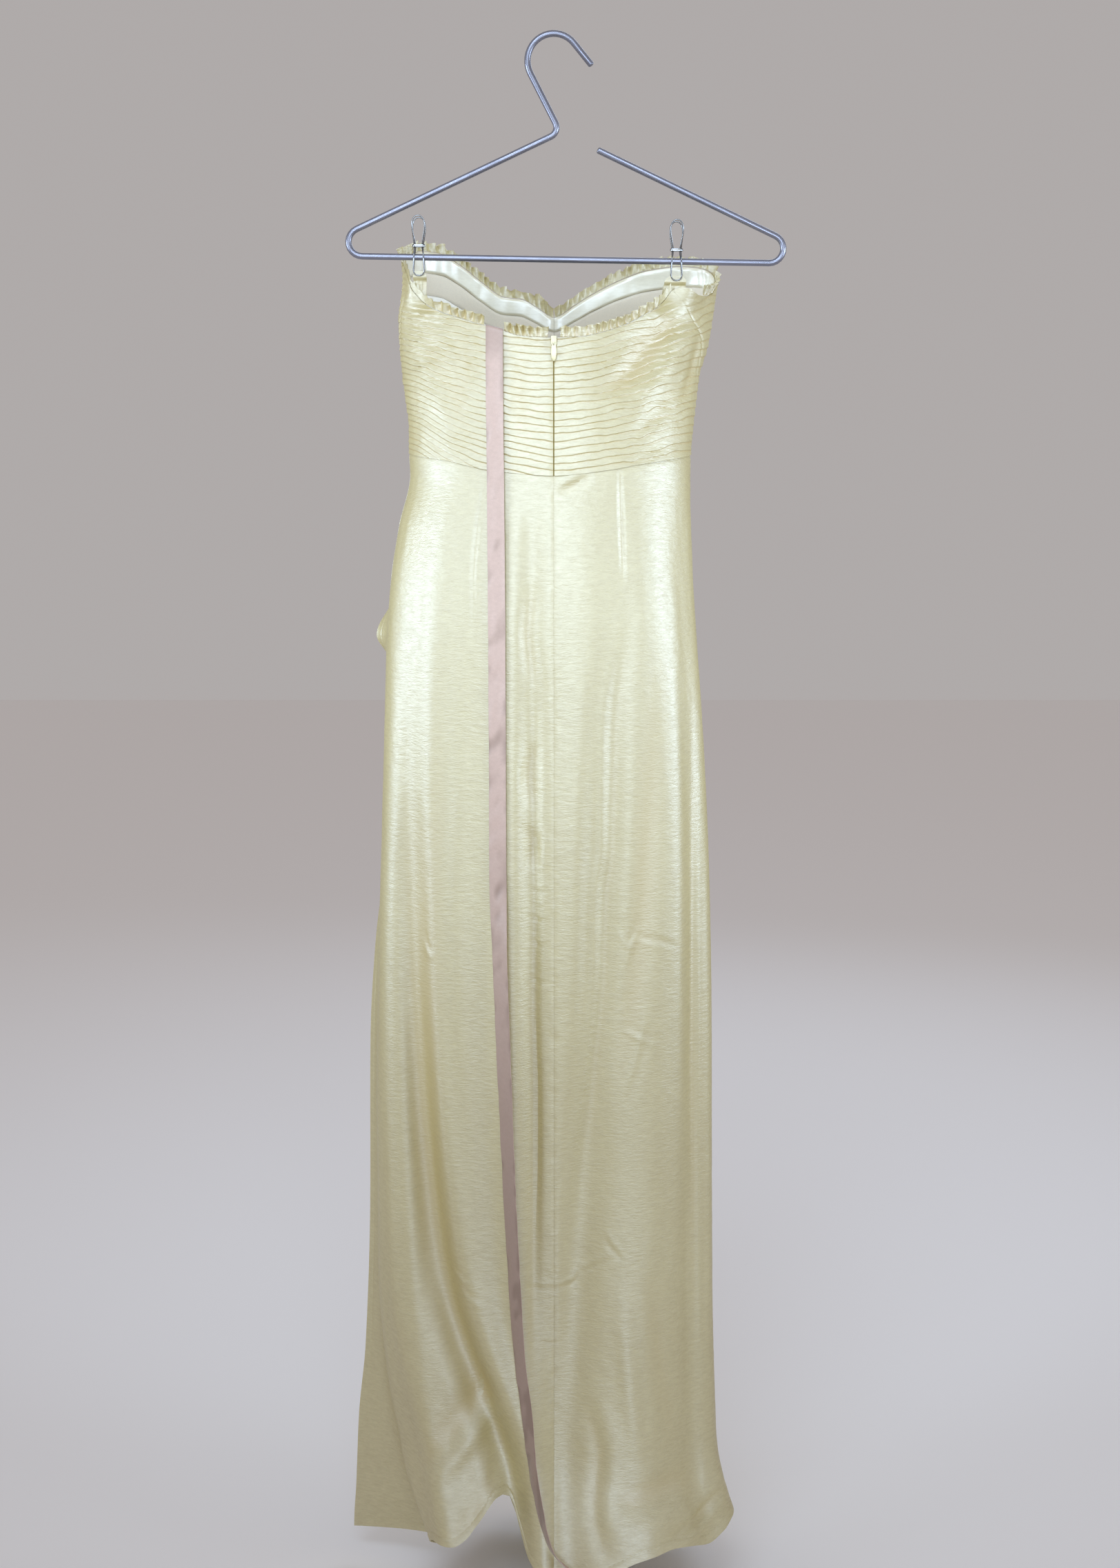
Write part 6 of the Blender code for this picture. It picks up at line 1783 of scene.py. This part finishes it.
class DRESS_OT_bodice(bpy.types.Operator):
    """Make the four pintucked panels of the bodice"""

    bl_idname = "dress.bodice"
    bl_label = "Bodice panels"

    def execute(self, context):
        form = context.scene.dress_form
        satin = cloth_finish(context.scene.dress_colours, SATIN)
        back = np.linspace(0, 1, BODICE_BACK_COLUMNS)
        front = np.linspace(0, 1, BODICE_FRONT_COLUMNS)
        bodice_cloth("bodice_back_left", "left", -ZIP_EDGE_ANGLE, back, form, satin)
        bodice_cloth("bodice_back_right", ZIP_EDGE_ANGLE, "right", back, form, satin)
        bodice_cloth("bodice_front_right", "right", 180.0, front, form, satin)
        bodice_cloth("bodice_front_left", -180.0, "left", front, form, satin)
        return {"FINISHED"}


class DRESS_OT_ruffles(bpy.types.Operator):
    """Make the pleated ruffles on the neck edge"""

    bl_idname = "dress.ruffles"
    bl_label = "Neck ruffles"

    def execute(self, context):
        form = context.scene.dress_form
        satin = cloth_finish(context.scene.dress_colours, SATIN)
        left, right = top_edges("left", -ZIP_EDGE_ANGLE), top_edges(ZIP_EDGE_ANGLE, "right")
        half_ribbon = 0.5 * RIBBON_WIDTH + RUFFLE_RIBBON_GAP
        before_ribbon, after_ribbon = RIBBON_TOP_X - half_ribbon, RIBBON_TOP_X + half_ribbon
        ruffle_cloth("ruffle_back_left", left, form, satin, RUFFLE_SEED, float(left[0][0, 0]), before_ribbon)
        ruffle_cloth("ruffle_back_middle", left, form, satin, RUFFLE_SEED + 1, after_ribbon, -ZIP_OPEN_TOP)
        ruffle_cloth("ruffle_back_right", right, form, satin, RUFFLE_SEED + 2, ZIP_OPEN_TOP, RUFFLE_RIGHT_END)
        start = (RUFFLE_FRONT_START - 1) / FRONT_SPANS
        right, left = top_edges("right", 180.0), top_edges(-180.0, "left")
        ruffle_cloth("ruffle_front_right", right, form, satin, RUFFLE_SEED + 3, start=start)
        ruffle_cloth("ruffle_front_left", left, form, satin, RUFFLE_SEED + 4, flap=FLAP_HEIGHT)
        return {"FINISHED"}


class DRESS_OT_inside(bpy.types.Operator):
    """Make the facing, grip band and lining inside the front, and the facing's tabs at the pegs"""

    bl_idname = "dress.inside"
    bl_label = "Facing and lining"

    def execute(self, context):
        colours = context.scene.dress_colours
        right = np.linspace(BAND_RIGHT_STARTS / FRONT_SPANS, 1, BAND_RIGHT_COLUMNS)
        left = np.linspace(0, BAND_LEFT_ENDS / FRONT_SPANS, BAND_LEFT_COLUMNS)
        for side, edges, columns, seed in (
            ("right", ("right", 180.0), right, BAND_RIGHT_SEED),
            ("left", (-180.0, "left"), left, BAND_LEFT_SEED),
        ):
            for band, top, foot in zip(BANDS, BAND_EDGES, BAND_EDGES[1:]):
                shares = np.linspace(top, foot, band.rows)
                finish = cloth_finish(colours, band.look)
                inner_band(side, edges, columns, band, shares, seed + band.seed, finish)
        for clip in CLIPS:
            peg_tab_cloth(clip, cloth_finish(colours, SATIN))
        return {"FINISHED"}


class DRESS_OT_skirt(bpy.types.Operator):
    """Make the skirt's four panels with their folds, seams and hems"""

    bl_idname = "dress.skirt"
    bl_label = "Skirt panels"

    def execute(self, context):
        form = context.scene.dress_form
        satin = cloth_finish(context.scene.dress_colours, SATIN)
        for name, start, end, grid, creases in (
            ("skirt_back_left", SKIRT_LEFT_SEAM, 0.0, SKIRT_BACK_GRID, BACK_CREASES),
            ("skirt_back_right", 0.0, SKIRT_RIGHT_SEAM, SKIRT_BACK_GRID, BACK_CREASES),
            ("skirt_front", SKIRT_RIGHT_SEAM, SLIT_ANGLE + 360.0, SKIRT_FRONT_GRID, FRONT_CREASES),
        ):
            skirt_cloth(name, start, end, grid, creases, form, satin)
        strip_cloth(form, satin)
        return {"FINISHED"}


class DRESS_OT_ribbon(bpy.types.Operator):
    """Make the long ribbon that hangs over the back"""

    bl_idname = "dress.ribbon"
    bl_label = "Ribbon"

    def execute(self, context):
        ribbon_cloth(cloth_finish(context.scene.dress_colours, RIBBON))
        return {"FINISHED"}


class DRESS_OT_zip(bpy.types.Operator):
    """Make the zip's tape, coil, slider and pull tab"""

    bl_idname = "dress.zip"
    bl_label = "Zip"

    def execute(self, context):
        colours = context.scene.dress_colours
        tape = cloth_finish(colours, TAPE)
        tape_cloth(tape)
        zip_teeth(tape)
        enamel = metal_finish(ENAMEL, colours.zip_pull, colours.satin_shade)
        rounded_metal("zip_slider", BODY, enamel, SLIDER_ROUND)
        rounded_metal("zip_pull", "zip_pull", enamel, PULL_ROUND)
        return {"FINISHED"}


class DRESS_OT_hanger(bpy.types.Operator):
    """Make the bent-rod hanger and its two wire pegs"""

    bl_idname = "dress.hanger"
    bl_label = "Hanger and pegs"

    def execute(self, context):
        colours = context.scene.dress_colours
        worn = tuple(ROD_WORN * value for value in colours.steel[:3]) + (1.0,)
        steel = metal_finish(PAINTED_ROD, colours.steel, worn)
        bright = metal_finish(BRIGHT_WIRE, colours.wire, WIRE_WORN)
        made = rod("hanger_rod", hanger_path(), ROD_RADIUS, ROD_SIDES, steel)
        dress_piece(made, "hanger")
        for clip in CLIPS:
            peg(clip, bright)
        return {"FINISHED"}


class DRESS_OT_studio(bpy.types.Operator):
    """Make the plain floor, the soft lights and the camera"""

    bl_idname = "dress.studio"
    bl_label = "Studio"

    def execute(self, context):
        studio = context.scene.dress_studio
        stage_floor(studio)
        for lamp in LAMPS:
            area_light(lamp, getattr(studio, lamp.power))
        context.scene.view_settings.view_transform = "Standard"
        world = bpy.data.worlds.new("surroundings")
        world.use_nodes = True
        world.node_tree.nodes["Background"].inputs["Color"].default_value = studio.world
        context.scene.world = world
        camera = bpy.data.objects.new("camera", bpy.data.cameras.new("camera"))
        camera.data.lens = CAMERA_LENS
        camera.location = CAMERA_PLACE
        camera.rotation_euler = Euler((np.radians(90 - CAMERA_PITCH), 0, 0))
        context.scene.collection.objects.link(camera)
        context.scene.camera = camera
        return {"FINISHED"}


def stage_floor(studio):
    """A plain floor that reaches far enough to fill the view."""
    corners = [(FLOOR_HALF * x, FLOOR_HALF * y, FLOOR) for x, y in ((-1, -1), (1, -1), (1, 1), (-1, 1))]
    finish = bpy.data.materials.new("floor")
    finish.use_nodes = True
    shader = finish.node_tree.nodes["Principled BSDF"]
    shader.inputs["Base Color"].default_value = studio.floor
    shader.inputs["Roughness"].default_value = FLOOR_ROUGHNESS
    mesh_object("floor", corners, [[0, 1, 2, 3]], finish)


def area_light(lamp, power):
    """A rectangular soft light that looks at a point."""
    light = bpy.data.lights.new(lamp.name, "AREA")
    light.shape = "RECTANGLE"
    light.size, light.size_y = lamp.size
    light.energy = power
    light.spread = np.radians(lamp.spread)
    light.color = LIGHT_COLOUR
    made = bpy.data.objects.new(lamp.name, light)
    made.visible_camera = False
    made.location = lamp.place
    heading = Vector(lamp.target) - Vector(lamp.place)
    made.rotation_euler = heading.to_track_quat("-Z", "Y").to_euler()
    bpy.context.scene.collection.objects.link(made)


class DRESS_PT_panel(bpy.types.Panel):
    """The dress's colours, sizes and makers"""

    bl_label = "Satin maxi dress"
    bl_space_type = "VIEW_3D"
    bl_region_type = "UI"
    bl_category = "Dress"

    def draw(self, context):
        for group in (context.scene.dress_colours, context.scene.dress_form, context.scene.dress_studio):
            box = self.layout.box()
            for name in group.__annotations__:
                box.prop(group, name)
        for maker in MAKERS:
            self.layout.operator(maker.bl_idname)


SETTINGS = (DressColours, DressForm, DressStudio)
MAKERS = (
    DRESS_OT_bodice,
    DRESS_OT_ruffles,
    DRESS_OT_inside,
    DRESS_OT_skirt,
    DRESS_OT_ribbon,
    DRESS_OT_zip,
    DRESS_OT_hanger,
    DRESS_OT_studio,
)


def register():
    for cls in SETTINGS + MAKERS + (DRESS_PT_panel,):
        bpy.utils.register_class(cls)
    bpy.types.Scene.dress_colours = bpy.props.PointerProperty(type=DressColours)
    bpy.types.Scene.dress_form = bpy.props.PointerProperty(type=DressForm)
    bpy.types.Scene.dress_studio = bpy.props.PointerProperty(type=DressStudio)


def unregister():
    del bpy.types.Scene.dress_studio
    del bpy.types.Scene.dress_form
    del bpy.types.Scene.dress_colours
    for cls in (SETTINGS + MAKERS + (DRESS_PT_panel,))[::-1]:
        bpy.utils.unregister_class(cls)


def main():
    """Makes every piece in order."""
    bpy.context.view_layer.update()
    register()
    bpy.ops.dress.bodice()
    bpy.ops.dress.ruffles()
    bpy.ops.dress.inside()
    bpy.ops.dress.skirt()
    bpy.ops.dress.ribbon()
    bpy.ops.dress.zip()
    bpy.ops.dress.hanger()
    bpy.ops.dress.studio()


if __name__ == "__main__":
    main()
